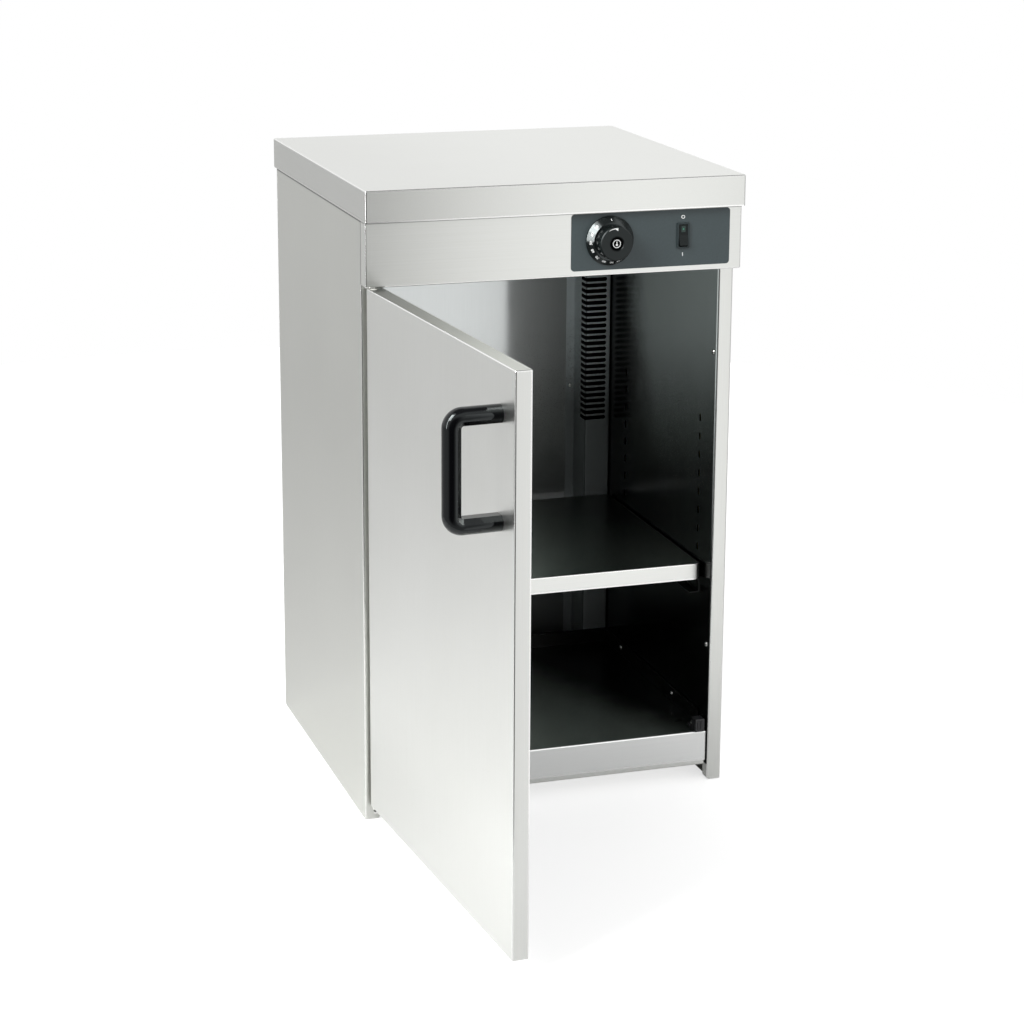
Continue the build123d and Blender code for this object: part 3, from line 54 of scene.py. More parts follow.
def box_of(node, turn=0.0):
    """Middle and half size of a CAD node's box, in axes turned about Z by this much."""
    spin = Matrix.Rotation(turn, 3, "Z")
    points = [spin @ vertex.co for vertex in NODES[node].data.vertices]
    low = Vector([min(point[axis] for point in points) for axis in range(3)])
    high = Vector([max(point[axis] for point in points) for axis in range(3)])
    return (low + high) / 2, (high - low) / 2


def on_plate_face(node):
    """Middle of a control, brought to the face of the control plate."""
    middle, half = box_of(node)
    return Vector((middle.x, PLATE_FACE, middle.z))


# ------------------------------------------------------------------ places and sizes
DOOR_OPEN = radians(86)  # opening angle of the door at rest
PLATE_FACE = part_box("control_plate")[0][1]
DIAL_MIDDLE = on_plate_face("dial_knob")
SWITCH_MIDDLE = on_plate_face("switch_housing")

# Where the inside of the corner ducts begins, outwards along X and back along Y.
DUCT_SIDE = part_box("liner_right")[0][0] - 0.0348
DUCT_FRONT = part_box("corner_duct_right")[0][1] + 0.0002

# The dial, measured outwards from the control plate's face and from its own middle.
KNOB_FACE = PLATE_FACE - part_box("dial_knob")[0][1]
KNOB_FLANK = KNOB_FACE - 0.0016         # the flank ends here, where the face's edge begins
KNOB_EDGE = KNOB_FACE - 0.0012
DISH_FACE = 0.0242                      # bottom of the dish in the knob's face
DISH_CORE, DISH_RIM = 0.0068, 0.0096    # radii between which the dark of the dish fades out
SKIRT_EDGE = Vector((0.0285, 0.0020))   # radius and height of the skirt's rim
SKIRT_TOP = Vector((0.0218, 0.0086))

# Ink of the print.
INK = 0.00006                # half its thickness
INK_SPREAD = 0.03            # how far it widens the letters, as a share of their size
FIRST_NUMBER, NUMBER_STEP, NUMBER_COUNT = 30, 10, 8
FIRST_TURN, TURN_STEP = radians(47), radians(22.5)
NUMBER_SHARE = 0.60          # how far up the skirt's slope the numbers stand
NUMBER_SIZE, MARK_SIZE = 0.0045, 0.0042
OFF_SIZE, OFF_HEIGHT = 0.0060, 0.0212
ON_SIZE, ON_HEIGHT = 0.0056, -0.0222
# Bands of ink: start and end, inner radii at both, outer radii at both, and number of steps.
POINTER = [
    (radians(32), radians(7), (0.0176, 0.0170), (0.0180, 0.0181), 10),
    (radians(7), radians(-4), (0.0168, 0.0146), (0.0181, 0.0181), 6),
]
STEM = (radians(7), radians(-7), (0.0029, 0.0029), (0.0056, 0.0056), 4)
STEM_DROP = 0.0030           # how far the thermometer's stem is centred below the dish's middle
BULB_DROP = 0.0012           # and its bulb

# Screws with a domed head and a cross recess.
HEAD_RADIUS, HEAD_HEIGHT = 0.0033, 0.0022
SHANK_RADIUS, SHANK_LENGTH = 0.0015, 0.0060
RECESS_WIDTH, RECESS_REACH = 0.0007, 0.0034
# Groups of screws: the axis of the heads, which way they look (0 for inwards from both sides), and how many
# stand in a row along X, Y and Z.
SCREW_GROUPS = {
    "liner_screws": (0, 0, (2, 1, 2)),
    "floor_pan_screws": (0, 0, (2, 2, 1)),
    "duct_screws": (1, -1, (2, 1, 2)),
    "catch_screws": (2, 1, (1, 2, 1)),
    "back_panel_screws": (1, 1, (2, 1, 4)),
}


# ------------------------------------------------------------------ node tree helpers
def add(tree, kind, inputs=None, **settings):
    """New node with its settings and the values or links of its inputs."""
    node = tree.nodes.new(kind)
    for name, value in settings.items():
        setattr(node, name, value)
    for socket, value in (inputs or {}).items():
        if isinstance(value, bpy.types.NodeSocket):
            tree.links.new(value, node.inputs[socket])
        else:
            node.inputs[socket].default_value = value
    return node


def calc(tree, operation, a, b=0.0, c=0.0):
    """Output of a Math node."""
    return add(tree, "ShaderNodeMath", {0: a, 1: b, 2: c}, operation=operation).outputs[0]


def vector(tree, operation, a, b=(0.0, 0.0, 0.0)):
    """Output of a Vector Math node, for an operation that gives a vector."""
    return add(tree, "ShaderNodeVectorMath", {0: a, 1: b}, operation=operation).outputs["Vector"]


def measure(tree, operation, a, b=(0.0, 0.0, 0.0)):
    """Output of a Vector Math node, for an operation that gives a number."""
    return add(tree, "ShaderNodeVectorMath", {0: a, 1: b}, operation=operation).outputs["Value"]


def spread(tree, value, low, high, to_low=0.0, to_high=1.0):
    """Value mapped smoothly from one range to another."""
    inputs = {"Value": value, "From Min": low, "From Max": high, "To Min": to_low, "To Max": to_high}
    return add(tree, "ShaderNodeMapRange", inputs, interpolation_type="SMOOTHSTEP").outputs[0]


def by_noise(tree, value, to_low=0.0, to_high=1.0):
    """Noise, which seldom leaves the middle of its range, mapped to a range of its own."""
    return spread(tree, value, 0.3, 0.7, to_low, to_high)


def blend(tree, share, first, second):
    """Number between two others, by a share of 0 to 1."""
    return add(tree, "ShaderNodeMix", {0: share, 2: first, 3: second}, data_type="FLOAT").outputs[0]


def blend_colour(tree, share, first, second):
    """Colour between two others, each a link or its red, green and blue, by a share of 0 to 1."""
    inputs = {0: share}
    for socket, colour in ((6, first), (7, second)):
        inputs[socket] = (*colour, 1) if isinstance(colour, tuple) else colour
    return add(tree, "ShaderNodeMix", inputs, data_type="RGBA").outputs[2]


def noise(tree, place, scale, detail=2.0, roughness=0.5):
    """Noise texture, from 0 to 1."""
    inputs = {"Vector": place, "Scale": scale, "Detail": detail, "Roughness": roughness}
    return add(tree, "ShaderNodeTexNoise", inputs).outputs[0]


def bump(tree, height, strength, distance=0.0002):
    """Normal of a surface with this height pattern."""
    inputs = {"Height": height, "Strength": strength, "Distance": distance}
    return add(tree, "ShaderNodeBump", inputs).outputs[0]


def combine(tree, **parts):
    """Vector from some of its X, Y and Z."""
    return add(tree, "ShaderNodeCombineXYZ", parts).outputs[0]


def separate(tree, value):
    """X, Y and Z of a vector."""
    return add(tree, "ShaderNodeSeparateXYZ", {0: value}).outputs


def here(tree):
    """Place of the shaded point."""
    return add(tree, "ShaderNodeTexCoord").outputs["Object"]


def turned(tree, turn):
    """Place of the shaded point, turned about Z."""
    inputs = {"Vector": here(tree), "Rotation": combine(tree, Z=turn)}
    return add(tree, "ShaderNodeMapping", inputs).outputs[0]


def shader_group(name, inputs, outputs):
    """Empty shader node group; inputs are given with their defaults and outputs with their types."""
    tree = bpy.data.node_groups.new(name, "ShaderNodeTree")
    for label, default in inputs.items():
        kind = "NodeSocketVector" if isinstance(default, tuple) else "NodeSocketFloat"
        tree.interface.new_socket(label, in_out="INPUT", socket_type=kind).default_value = default
    for label, kind in outputs.items():
        tree.interface.new_socket(label, in_out="OUTPUT", socket_type="NodeSocket" + kind)
    return tree, add(tree, "NodeGroupInput").outputs, add(tree, "NodeGroupOutput").inputs


def use(tree, group, **inputs):
    """Outputs of a shared group placed in a tree, with its inputs set by name."""
    node = add(tree, "ShaderNodeGroup", node_tree=group)
    for name, value in inputs.items():
        node.inputs[name.replace("_", " ")].default_value = value
    return node.outputs


def new_material(name):
    """Material with an empty tree and a Principled shader on its output."""
    material = bpy.data.materials.new(name)
    material.use_nodes = True
    tree = material.node_tree
    tree.nodes.clear()
    shader = add(tree, "ShaderNodeBsdfPrincipled")
    add(tree, "ShaderNodeOutputMaterial", {"Surface": shader.outputs[0]})
    return material, tree, shader


# ------------------------------------------------------------------ shared surface effects
def make_grain_group():
    """Lines of a brushing belt: fine noise, long along one axis, as a mask and a normal, with wide clouds."""
    tree, given, made = shader_group(
        "brushed grain",
        {"Along": (1.0, 1.0, 0.02), "Turn": 0.0, "Fineness": 900.0, "Depth": 0.05},
        {"Grain": "Float", "Cloud": "Float", "Normal": "Vector"},
    )
    place = turned(tree, given["Turn"])
    fine = noise(tree, vector(tree, "MULTIPLY", place, given["Along"]), given["Fineness"], 3.0)
    tree.links.new(fine, made["Grain"])
    tree.links.new(noise(tree, place, 5.0), made["Cloud"])
    tree.links.new(bump(tree, fine, given["Depth"], 0.0004), made["Normal"])
    return tree


def make_edge_highlight_group():
    """Mask of the strips along the edges of a box, for a painted highlight: 1 on an edge, 0 further away than
    the width.
    """
    tree, given, made = shader_group(
        "polished edge with painted highlight",
        {"Turn": 0.0, "Centre": (0.0, 0.0, 0.0), "Half": (1.0, 1.0, 1.0), "Width": 0.0022},
        {"Edge": "Float"},
    )
    away = vector(tree, "ABSOLUTE", vector(tree, "SUBTRACT", turned(tree, given["Turn"]), given["Centre"]))
    depth = separate(tree, vector(tree, "SUBTRACT", given["Half"], away))
    nearest, furthest, total = (
        calc(tree, operation, calc(tree, operation, depth[0], depth[1]), depth[2])
        for operation in ("MINIMUM", "MAXIMUM", "ADD")
    )
    middle = calc(tree, "SUBTRACT", calc(tree, "SUBTRACT", total, nearest), furthest)
    tree.links.new(spread(tree, middle, 0.0, given["Width"], 1.0, 0.0), made["Edge"])
    return tree


def make_shade_band_group():
    """Painted shade: share of the light left in a band about one level along an axis, as the shadow where two
    sheets meet.
    """
    tree, given, made = shader_group(
        "painted shade band",
        {"Axis": (0.0, 0.0, 1.0), "Level": 0.0, "Width": 0.0015, "Left": 0.35},
        {"Open": "Float"},
    )
    along = measure(tree, "DOT_PRODUCT", here(tree), given["Axis"])
    away = calc(tree, "ABSOLUTE", calc(tree, "SUBTRACT", along, given["Level"]))
    tree.links.new(spread(tree, away, 0.0, given["Width"], given["Left"], 1.0), made["Open"])
    return tree


def make_corner_group():
    """Share of the light left as a sheet gets darker towards one corner, except on its front lip."""
    tree, given, made = shader_group(
        "shade towards a corner",
        {"Skew": 0.0, "Start": 0.0, "End": 0.2, "Left": 0.5, "Lip": -1.0},
        {"Open": "Float"},
    )
    place = here(tree)
    part = separate(tree, place)
    drift = calc(tree, "MULTIPLY", calc(tree, "SUBTRACT", noise(tree, place, 20.0, 4.0), 0.5), 0.03)
    skewed = calc(tree, "MULTIPLY", part["Y"], given["Skew"])
    along = calc(tree, "ADD", calc(tree, "ADD", part["X"], skewed), drift)
    shade = spread(tree, along, given["Start"], given["End"], 1.0, given["Left"])
    behind = spread(tree, calc(tree, "SUBTRACT", part["Y"], given["Lip"]), 0.001, 0.003)
    tree.links.new(blend(tree, behind, 1.0, shade), made["Open"])
    return tree


def make_top_face_group():
    """Light left on faces that look up under something wider: its colour, rising from rear to front."""
    tree, given, made = shader_group(
        "shaded top face",
        {"Rear": 0.0, "Front": -0.5, "Left at rear": 0.3, "Left at front": 0.7, "Tint": (0.88, 1.0, 0.92)},
        {"Open": "Vector"},
    )
    depth = separate(tree, here(tree))["Y"]
    upward = separate(tree, add(tree, "ShaderNodeNewGeometry").outputs["Normal"])["Z"]
    share = spread(tree, depth, given["Rear"], given["Front"], given["Left at rear"], given["Left at front"])
    tinted = vector(tree, "MULTIPLY", given["Tint"], share)
    inputs = {0: spread(tree, upward, 0.80, 0.97), 4: (1.0, 1.0, 1.0), 5: tinted}
    tree.links.new(add(tree, "ShaderNodeMix", inputs, data_type="VECTOR").outputs[1], made["Open"])
    return tree


def make_duct_shade_group():
    """Painted shade: share of the light left inside the corner ducts, where shade falls."""
    tree, given, made = shader_group(
        "painted shade inside the ducts",
        {"Side": DUCT_SIDE, "Front": DUCT_FRONT, "Left": 0.03},
        {"Open": "Float"},
    )
    part = separate(tree, here(tree))
    aside = calc(tree, "ABSOLUTE", part["X"])
    beside = spread(tree, calc(tree, "SUBTRACT", aside, given["Side"]), 0.0, 0.001)
    behind = spread(tree, calc(tree, "SUBTRACT", part["Y"], given["Front"]), 0.0, 0.001)
    inside = calc(tree, "MULTIPLY", beside, behind)
    tree.links.new(spread(tree, inside, 0.0, 1.0, 1.0, given["Left"]), made["Open"])
    return tree


def make_shade_and_rust_group():
    """Painted shade: share of the light left on a sheet, darker low down and to the rear, with rust specks
    where the shade begins.
    """
    tree, given, made = shader_group(
        "painted shade with rust specks",
        {"Foot": 0.05, "Head": 0.7, "Rear": 0.3, "Front": 0.25, "Slant": 0.0, "Left": 0.4},
        {"Unshaded": "Float", "Speck": "Float"},
    )
    place = here(tree)
    part = separate(tree, place)
    cloud = noise(tree, place, 14.0, 6.0, 0.7)
    drift = calc(tree, "MULTIPLY", calc(tree, "SUBTRACT", cloud, 0.5), 0.10)
    level = calc(tree, "ADD", part["Z"], drift)
    slanted = calc(tree, "MULTIPLY", part["Z"], given["Slant"])
    depth = calc(tree, "ADD", calc(tree, "ADD", part["Y"], drift), slanted)
    high = spread(tree, level, given["Foot"], given["Head"])
    fore = spread(tree, depth, given["Rear"], given["Front"])
    share = calc(tree, "MULTIPLY", high, fore)
    unshaded = add(tree, "ShaderNodeMapRange", {"Value": share, "To Min": given["Left"]}).outputs[0]
    border = calc(tree, "MULTIPLY", calc(tree, "MULTIPLY", share, calc(tree, "SUBTRACT", 1.0, share)), 4.0)
    grit = spread(tree, noise(tree, place, 650.0), 0.54, 0.74, 0.0, 0.6)
    tree.links.new(unshaded, made["Unshaded"])
    tree.links.new(calc(tree, "MULTIPLY", grit, border), made["Speck"])
    return tree


GRAIN = make_grain_group()
EDGE_HIGHLIGHT = make_edge_highlight_group()
SHADE_BAND = make_shade_band_group()
CORNER = make_corner_group()
TOP_FACE = make_top_face_group()
INSIDE_DUCT_SHADE = make_duct_shade_group()
SHADE_AND_RUST = make_shade_and_rust_group()


# ------------------------------------------------------------------ material makers
# Edges are polished, so smoother, and lighter in colour as a painted highlight on their bends.
EDGE_HIGHLIGHT_COLOUR, POLISHED_ROUGHNESS = (0.95, 0.95, 0.94), 0.14
RUST, RUST_ROUGHNESS = (0.10, 0.075, 0.06), 0.2
HAZE_ROUGHNESS = 0.28
COOL = (0.92, 1.0, 1.0, 1.0)  # tint of what black mouldings reflect
# How a brushing belt ran: the pattern is stretched along the axis with the small number.
UPRIGHT = (1.0, 1.0, 0.02)
CROSSWISE = (0.006, 1.0, 1.0)
DEPTHWISE = (1.0, 0.02, 1.0)


def brushed_steel(name, colours, finish, along=UPRIGHT, turn=0.0, depth=0.012, metallic=1.0, haze=0.0,
                  tint=None, highlit_edges="", shade_bands=(), shade_in_ducts=False, corner=None, top_face=None):
    """Brushed stainless steel, varied by its grain, with rust specks, painted highlights on its edges and
    painted shade.

    Colours are the darker and the lighter one, finish the least and the most roughness, and haze the share of
    a second, softer sheen. Highlit edges names the node whose box has polished and lighter edges, the lighter
    colour a painted highlight. Tint sets the painted shade low down and to the rear, with its rust specks;
    the painted shade also comes in bands, inside the ducts, towards a corner and on faces that look up.
    """
    material, tree, shader = new_material(name)
    grain = use(tree, GRAIN, Along=along, Turn=turn, Depth=depth)
    pattern = blend(tree, 0.5, grain["Grain"], grain["Cloud"])
    colour = blend_colour(tree, by_noise(tree, pattern), *colours)
    gloss = by_noise(tree, pattern, *finish)
    # Painted shade low down and to the rear, with rust specks at its border.
    if tint:
        shade_rust = use(tree, SHADE_AND_RUST, **tint)
        colour = blend_colour(tree, shade_rust["Speck"], vector(tree, "MULTIPLY", colour, shade_rust["Unshaded"]), RUST)
        gloss = calc(tree, "MULTIPLY_ADD", shade_rust["Speck"], RUST_ROUGHNESS, gloss)
    # Painted highlight: lighter colour along the edges, which are also smoother as polished.
    if highlit_edges:
        centre, half = box_of(highlit_edges, turn)
        edge = use(tree, EDGE_HIGHLIGHT, Turn=turn, Centre=centre, Half=half)["Edge"]
        colour = blend_colour(tree, edge, colour, EDGE_HIGHLIGHT_COLOUR)
        gloss = blend(tree, edge, gloss, POLISHED_ROUGHNESS)
    # Painted shade: each band, the inside of the ducts, a corner and faces that look up leave a share of the
    # light.
    shades = [(SHADE_BAND, shade_band) for shade_band in shade_bands]
    if shade_in_ducts:
        shades.append((INSIDE_DUCT_SHADE, {}))
    if corner:
        shades.append((CORNER, corner))
    if top_face:
        shades.append((TOP_FACE, top_face))
    for group, values in shades:
        colour = vector(tree, "MULTIPLY", colour, use(tree, group, **values)["Open"])
    tree.links.new(colour, shader.inputs["Base Color"])
    tree.links.new(gloss, shader.inputs["Roughness"])
    tree.links.new(grain["Normal"], shader.inputs["Normal"])
    shader.inputs["Metallic"].default_value = metallic
    if haze:
        soft = add(tree, "ShaderNodeBsdfPrincipled", {"Base Color": colour, "Normal": grain["Normal"]})
        soft.inputs["Metallic"].default_value = metallic
        tree.links.new(calc(tree, "ADD", gloss, HAZE_ROUGHNESS), soft.inputs["Roughness"])
        both = add(tree, "ShaderNodeMixShader", {0: haze, 1: shader.outputs[0], 2: soft.outputs[0]})
        tree.links.new(both.outputs[0], tree.nodes["Material Output"].inputs["Surface"])
    return material


def moulded(name, colour, finish, metallic=0.0, grain_size=60.0, lift=1.25, depth=0.03, shine=0.5,
            tint=(1.0, 1.0, 1.0, 1.0)):
    """Moulded, painted or plated surface with a slight mottle in colour, roughness and height."""
    material, tree, shader = new_material(name)
    mottle = noise(tree, here(tree), grain_size, 4.0)
    pale = tuple(min(1.0, channel * lift) for channel in colour)
    tree.links.new(blend_colour(tree, mottle, colour, pale), shader.inputs["Base Color"])
    tree.links.new(by_noise(tree, mottle, *finish), shader.inputs["Roughness"])
    tree.links.new(bump(tree, mottle, depth), shader.inputs["Normal"])
    shader.inputs["Metallic"].default_value = metallic
    shader.inputs["Specular IOR Level"].default_value = shine
    shader.inputs["Specular Tint"].default_value = tint
    return material


def make_dial_material():
    """Gloss black moulding: satin on the knob's face, black in its dish, glossy on the skirt and flank."""
    material, tree, shader = new_material("dial moulding")
    place = here(tree)
    offset = vector(tree, "SUBTRACT", place, DIAL_MIDDLE)
    radius = measure(tree, "LENGTH", vector(tree, "MULTIPLY", offset, (1.0, 0.0, 1.0)))
    face = spread(tree, separate(tree, offset)["Y"], -KNOB_EDGE, -KNOB_FLANK, 1.0, 0.0)
    dish = calc(tree, "MULTIPLY", spread(tree, radius, DISH_CORE, DISH_RIM, 0.97, 0.0), face)
    outside = calc(tree, "SUBTRACT", 1.0, dish)
    mottle = noise(tree, place, 700.0, 3.0)
    plain = blend_colour(tree, mottle, (0.004, 0.0055, 0.0055), (0.007, 0.0090, 0.0090))
    sheen = blend(tree, face, 0.7, 0.34)
    gloss = blend(tree, face, by_noise(tree, mottle, 0.13, 0.18), 0.36)
    tree.links.new(vector(tree, "MULTIPLY", plain, outside), shader.inputs["Base Color"])
    tree.links.new(calc(tree, "MULTIPLY", sheen, outside), shader.inputs["Specular IOR Level"])
    tree.links.new(gloss, shader.inputs["Roughness"])
    tree.links.new(bump(tree, mottle, 0.01), shader.inputs["Normal"])
    shader.inputs["Specular Tint"].default_value = COOL
    return material


def make_lens_material():
    """Dark green lens, with the glow of the lamp behind its middle."""
    material, tree, shader = new_material("green lens")
    place = here(tree)
    away = measure(tree, "DISTANCE", place, box_of("pilot_lens")[0])
    glow = spread(tree, away, 0.0003, 0.0015, 1.0, 0.0)
    ribs = noise(tree, place, 900.0)
    shade = blend_colour(tree, ribs, (0.001, 0.012, 0.009), (0.002, 0.020, 0.014))
    lit = blend_colour(tree, glow, (0.0, 0.012, 0.008), (0.08, 0.60, 0.34))
    tree.links.new(shade, shader.inputs["Base Color"])
    tree.links.new(by_noise(tree, ribs, 0.12, 0.18), shader.inputs["Roughness"])
    tree.links.new(lit, shader.inputs["Emission Color"])
    shader.inputs["Emission Strength"].default_value = 0.6
    return material


# ------------------------------------------------------------------ colours, finishes and shades
# The darker and the lighter colour of each steel.
STEEL = (0.755, 0.763, 0.732), (0.79, 0.798, 0.772)
# Painted shade: the left side panel is a darker copy of the steel of the right one.
SHADED_SIDE_STEEL = (0.69, 0.698, 0.66), (0.72, 0.728, 0.69)
# Painted light: a lighter copy of the shell's steel, for the door and the shelf.
LIT_DOOR_STEEL = (0.83, 0.838, 0.808), (0.86, 0.868, 0.842)
LINING = (0.19, 0.20, 0.20), (0.23, 0.24, 0.24)
# Painted shade and light: the chamber's side walls take a darker and its back wall a lighter copy of one
# liner steel.
SHADED_WALL_STEEL = (0.46, 0.50, 0.49), (0.50, 0.54, 0.53)
LIT_BACK_STEEL = (0.84, 0.87, 0.865), (0.88, 0.91, 0.905)
DUCT = (0.88, 0.94, 0.96), (0.90, 0.96, 0.98)
PAN = (0.92, 0.93, 0.92), (0.94, 0.95, 0.94)
RUNNER = (0.08, 0.085, 0.08), (0.11, 0.115, 0.11)
# The least and the most roughness of the steels.
SATIN = 0.28, 0.32
TRAY_SATIN = 0.275, 0.285
LINING_SATIN = 0.26, 0.32
WALL_SHEEN = 0.20, 0.24
BACK_SHEEN = 0.07, 0.10
DUCT_MATT = 0.36, 0.42
RUNNER_MATT = 0.34, 0.40

LIP_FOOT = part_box("worktop")[0][2]
WORKTOP_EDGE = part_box("worktop")[1][2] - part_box("worktop")[0][1]  # Z less Y along its top front edge
STILE_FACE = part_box("side_panel_left")[0][1]
DOOR_MIDDLE, DOOR_HALF = box_of("door_skin", DOOR_OPEN)
# Painted shade in bands: under the worktop's lip on the side panels and the fascia, where the fascia meets
# the stiles, along the worktop's top front bend, on the door's free edge and low on the door.
SIDE_LIP_SHADE = {"Level": LIP_FOOT - 0.0012, "Width": 0.0026, "Left": 0.08}
FASCIA_LIP_SHADE = {"Level": LIP_FOOT - 0.0012, "Left": 0.30}
STILE_SHADE = {"Axis": (0.0, 1.0, 0.0), "Level": STILE_FACE - 0.0002, "Width": 0.0045, "Left": 0.20}
WORKTOP_EDGE_SHADE = {"Axis": (0.0, -1.0, 1.0), "Level": WORKTOP_EDGE, "Width": 0.0020, "Left": 0.40}
DOOR_EDGE_SHADE = {  # painted shade on the narrow face at the free end of the door
    "Axis": (cos(DOOR_OPEN), -sin(DOOR_OPEN), 0.0),
    "Level": DOOR_MIDDLE.x + DOOR_HALF.x,
    "Width": 0.0012,
    "Left": 0.87,
}
DOOR_FOOT_SHADE = {"Level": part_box("door_skin")[0][2], "Width": 0.16, "Left": 0.86}

# Painted shade inside the chamber, low down and to the rear: side walls, back wall and ducts.
WALL_PAINTED_SHADE = {"Foot": 0.27, "Head": 0.56, "Rear": -0.090, "Front": -0.190, "Slant": -0.37, "Left": 0.03}
BACK_PAINTED_SHADE = {"Foot": 0.24, "Head": 0.52, "Left": 0.35}
DUCT_PAINTED_SHADE = {"Foot": 0.36, "Head": 0.52, "Left": 0.30}
DOOR_TOP = {
    "Rear": -0.24,
    "Front": -0.64,
    "Left_at_rear": 0.26,
    "Left_at_front": 0.72,
    "Tint": (0.98, 1.0, 0.96),
}
PAN_TOP = {"Rear": 0.10, "Front": -0.20, "Left_at_rear": 0.36, "Left_at_front": 0.92}
SHELF_TOP = {"Rear": 0.10, "Front": -0.20, "Left_at_rear": 0.30, "Left_at_front": 0.75}
PAN_CORNER = {"Skew": 0.37, "Start": 0.05, "End": 0.14, "Left": 0.05, "Lip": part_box("floor_pan")[0][1]}
SHELF_CORNER = {"Skew": 0.37, "Start": 0.08, "End": 0.24, "Left": 0.5, "Lip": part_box("shelf")[0][1]}
WORKTOP_CORNER = {"Start": 0.10, "End": -0.23, "Left": 0.905}

SHELL_STEEL = brushed_steel("brushed steel, upright", STEEL, SATIN)
DUCT_STEEL = brushed_steel(
    "duct steel", DUCT, DUCT_MATT, depth=0.004, metallic=0.2, tint=DUCT_PAINTED_SHADE, shade_in_ducts=True
)
RUNNER_STEEL = brushed_steel("runner steel", RUNNER, RUNNER_MATT, DEPTHWISE, depth=0.004)

# Finish of each material slot.
FINISH = {
    "brushed_steel": SHELL_STEEL,
    "liner_steel": brushed_steel("liner steel", SHADED_WALL_STEEL, WALL_SHEEN, depth=0.002, tint=WALL_PAINTED_SHADE, shade_in_ducts=True),
    "control_plate": moulded(
        "control plate", (0.040, 0.056, 0.060), (0.38, 0.44), grain_size=520.0, lift=1.35
    ),
    "dial": make_dial_material(),
    "handle": moulded(
        "gloss handle moulding", (0.0015, 0.0015, 0.002), (0.07, 0.09), depth=0.004, shine=0.40, tint=COOL
    ),
    "switch_bezel": moulded(
        "switch bezel moulding", (0.022, 0.032, 0.034), (0.36, 0.42), depth=0.01, shine=0.3
    ),
    "switch_rocker": moulded(
        "rocker moulding", (0.002, 0.003, 0.003), (0.12, 0.18), depth=0.01, shine=0.22, tint=COOL
    ),
    "pilot_lens": make_lens_material(),
    "black_plastic": moulded("thermostat moulding", (0.03, 0.03, 0.03), (0.4, 0.5)),
    "terminal": moulded("terminal moulding", (0.70, 0.70, 0.66), (0.4, 0.5)),
    "gland": moulded("gland nylon", (0.02, 0.02, 0.022), (0.45, 0.55)),
    "cable_sheath": moulded("cable sheath", (0.02, 0.02, 0.02), (0.5, 0.6)),
    "heater_sheath": moulded("heater sheath", (0.30, 0.27, 0.24), (0.4, 0.5), metallic=1.0),
    "capillary": moulded("copper capillary", (0.75, 0.42, 0.28), (0.3, 0.4), metallic=1.0),
    "insulation": moulded("mineral wool", (0.62, 0.56, 0.36), (0.9, 0.98), grain_size=900.0, depth=0.6),
    "bush": moulded("acetal bush", (0.78, 0.78, 0.74), (0.4, 0.5)),
    "catch": moulded("catch moulding", (0.02, 0.02, 0.022), (0.4, 0.5)),
    "pin_steel": moulded("turned steel", (0.60, 0.60, 0.59), (0.2, 0.28), metallic=1.0),
    "screws": moulded("plated screws", (0.70, 0.70, 0.68), (0.18, 0.26), metallic=1.0),
}
# Nodes whose finish isn't that of their slot.
OWN_FINISH = {
    "worktop": brushed_steel(
        "brushed steel, worktop", STEEL, SATIN, DEPTHWISE, highlit_edges="worktop", shade_bands=[WORKTOP_EDGE_SHADE],
        corner=WORKTOP_CORNER,
    ),
    "side_panel_left": brushed_steel(
        "brushed steel, left side", SHADED_SIDE_STEEL, SATIN, highlit_edges="side_panel_left", shade_bands=[SIDE_LIP_SHADE]
    ),
    "side_panel_right": brushed_steel(
        "brushed steel, right side", STEEL, SATIN, highlit_edges="side_panel_right", shade_bands=[SIDE_LIP_SHADE]
    ),
    "control_fascia": brushed_steel(
        "brushed steel, fascia", STEEL, SATIN, CROSSWISE, highlit_edges="control_fascia",
        shade_bands=[FASCIA_LIP_SHADE, STILE_SHADE],
    ),
    "door_skin": brushed_steel(
        "brushed steel, door", LIT_DOOR_STEEL, SATIN, turn=DOOR_OPEN, highlit_edges="door_skin", shade_bands=[DOOR_EDGE_SHADE, DOOR_FOOT_SHADE],
        top_face=DOOR_TOP,
    ),
    "door_inner_cover": brushed_steel("door lining steel", LINING, LINING_SATIN, turn=DOOR_OPEN),
    "liner_back": brushed_steel(
        "back wall steel", LIT_BACK_STEEL, BACK_SHEEN, depth=0.002, metallic=0.78, haze=0.42, tint=BACK_PAINTED_SHADE,
        shade_in_ducts=True,
    ),
    "corner_duct_left": DUCT_STEEL,
    "corner_duct_right": DUCT_STEEL,
    "floor_pan": brushed_steel(
        "chamber floor steel", PAN, TRAY_SATIN, CROSSWISE, depth=0.001, metallic=0.92, highlit_edges="floor_pan",
        corner=PAN_CORNER, top_face=PAN_TOP,
    ),
    "shelf": brushed_steel(
        "shelf steel", LIT_DOOR_STEEL, TRAY_SATIN, CROSSWISE, depth=0.001, highlit_edges="shelf", corner=SHELF_CORNER,
        top_face=SHELF_TOP,
    ),
    "shelf_runner_left": RUNNER_STEEL,
    "shelf_runner_right": RUNNER_STEEL,
    "base_plate": SHELL_STEEL,
    "catch_poles": FINISH["catch"],
}
WHITE_PRINT = moulded("white print", (0.86, 0.87, 0.86), (0.4, 0.5), grain_size=1500.0, lift=1.05)


def dress(node, slot):
    """Gives one CAD node its finish."""
    materials = NODES[node].data.materials
    materials.clear()
    materials.append(OWN_FINISH.get(node, FINISH[slot]))


for part in frame["record"]["subparts"]:
    dress(part["node"], part["material_slot"])


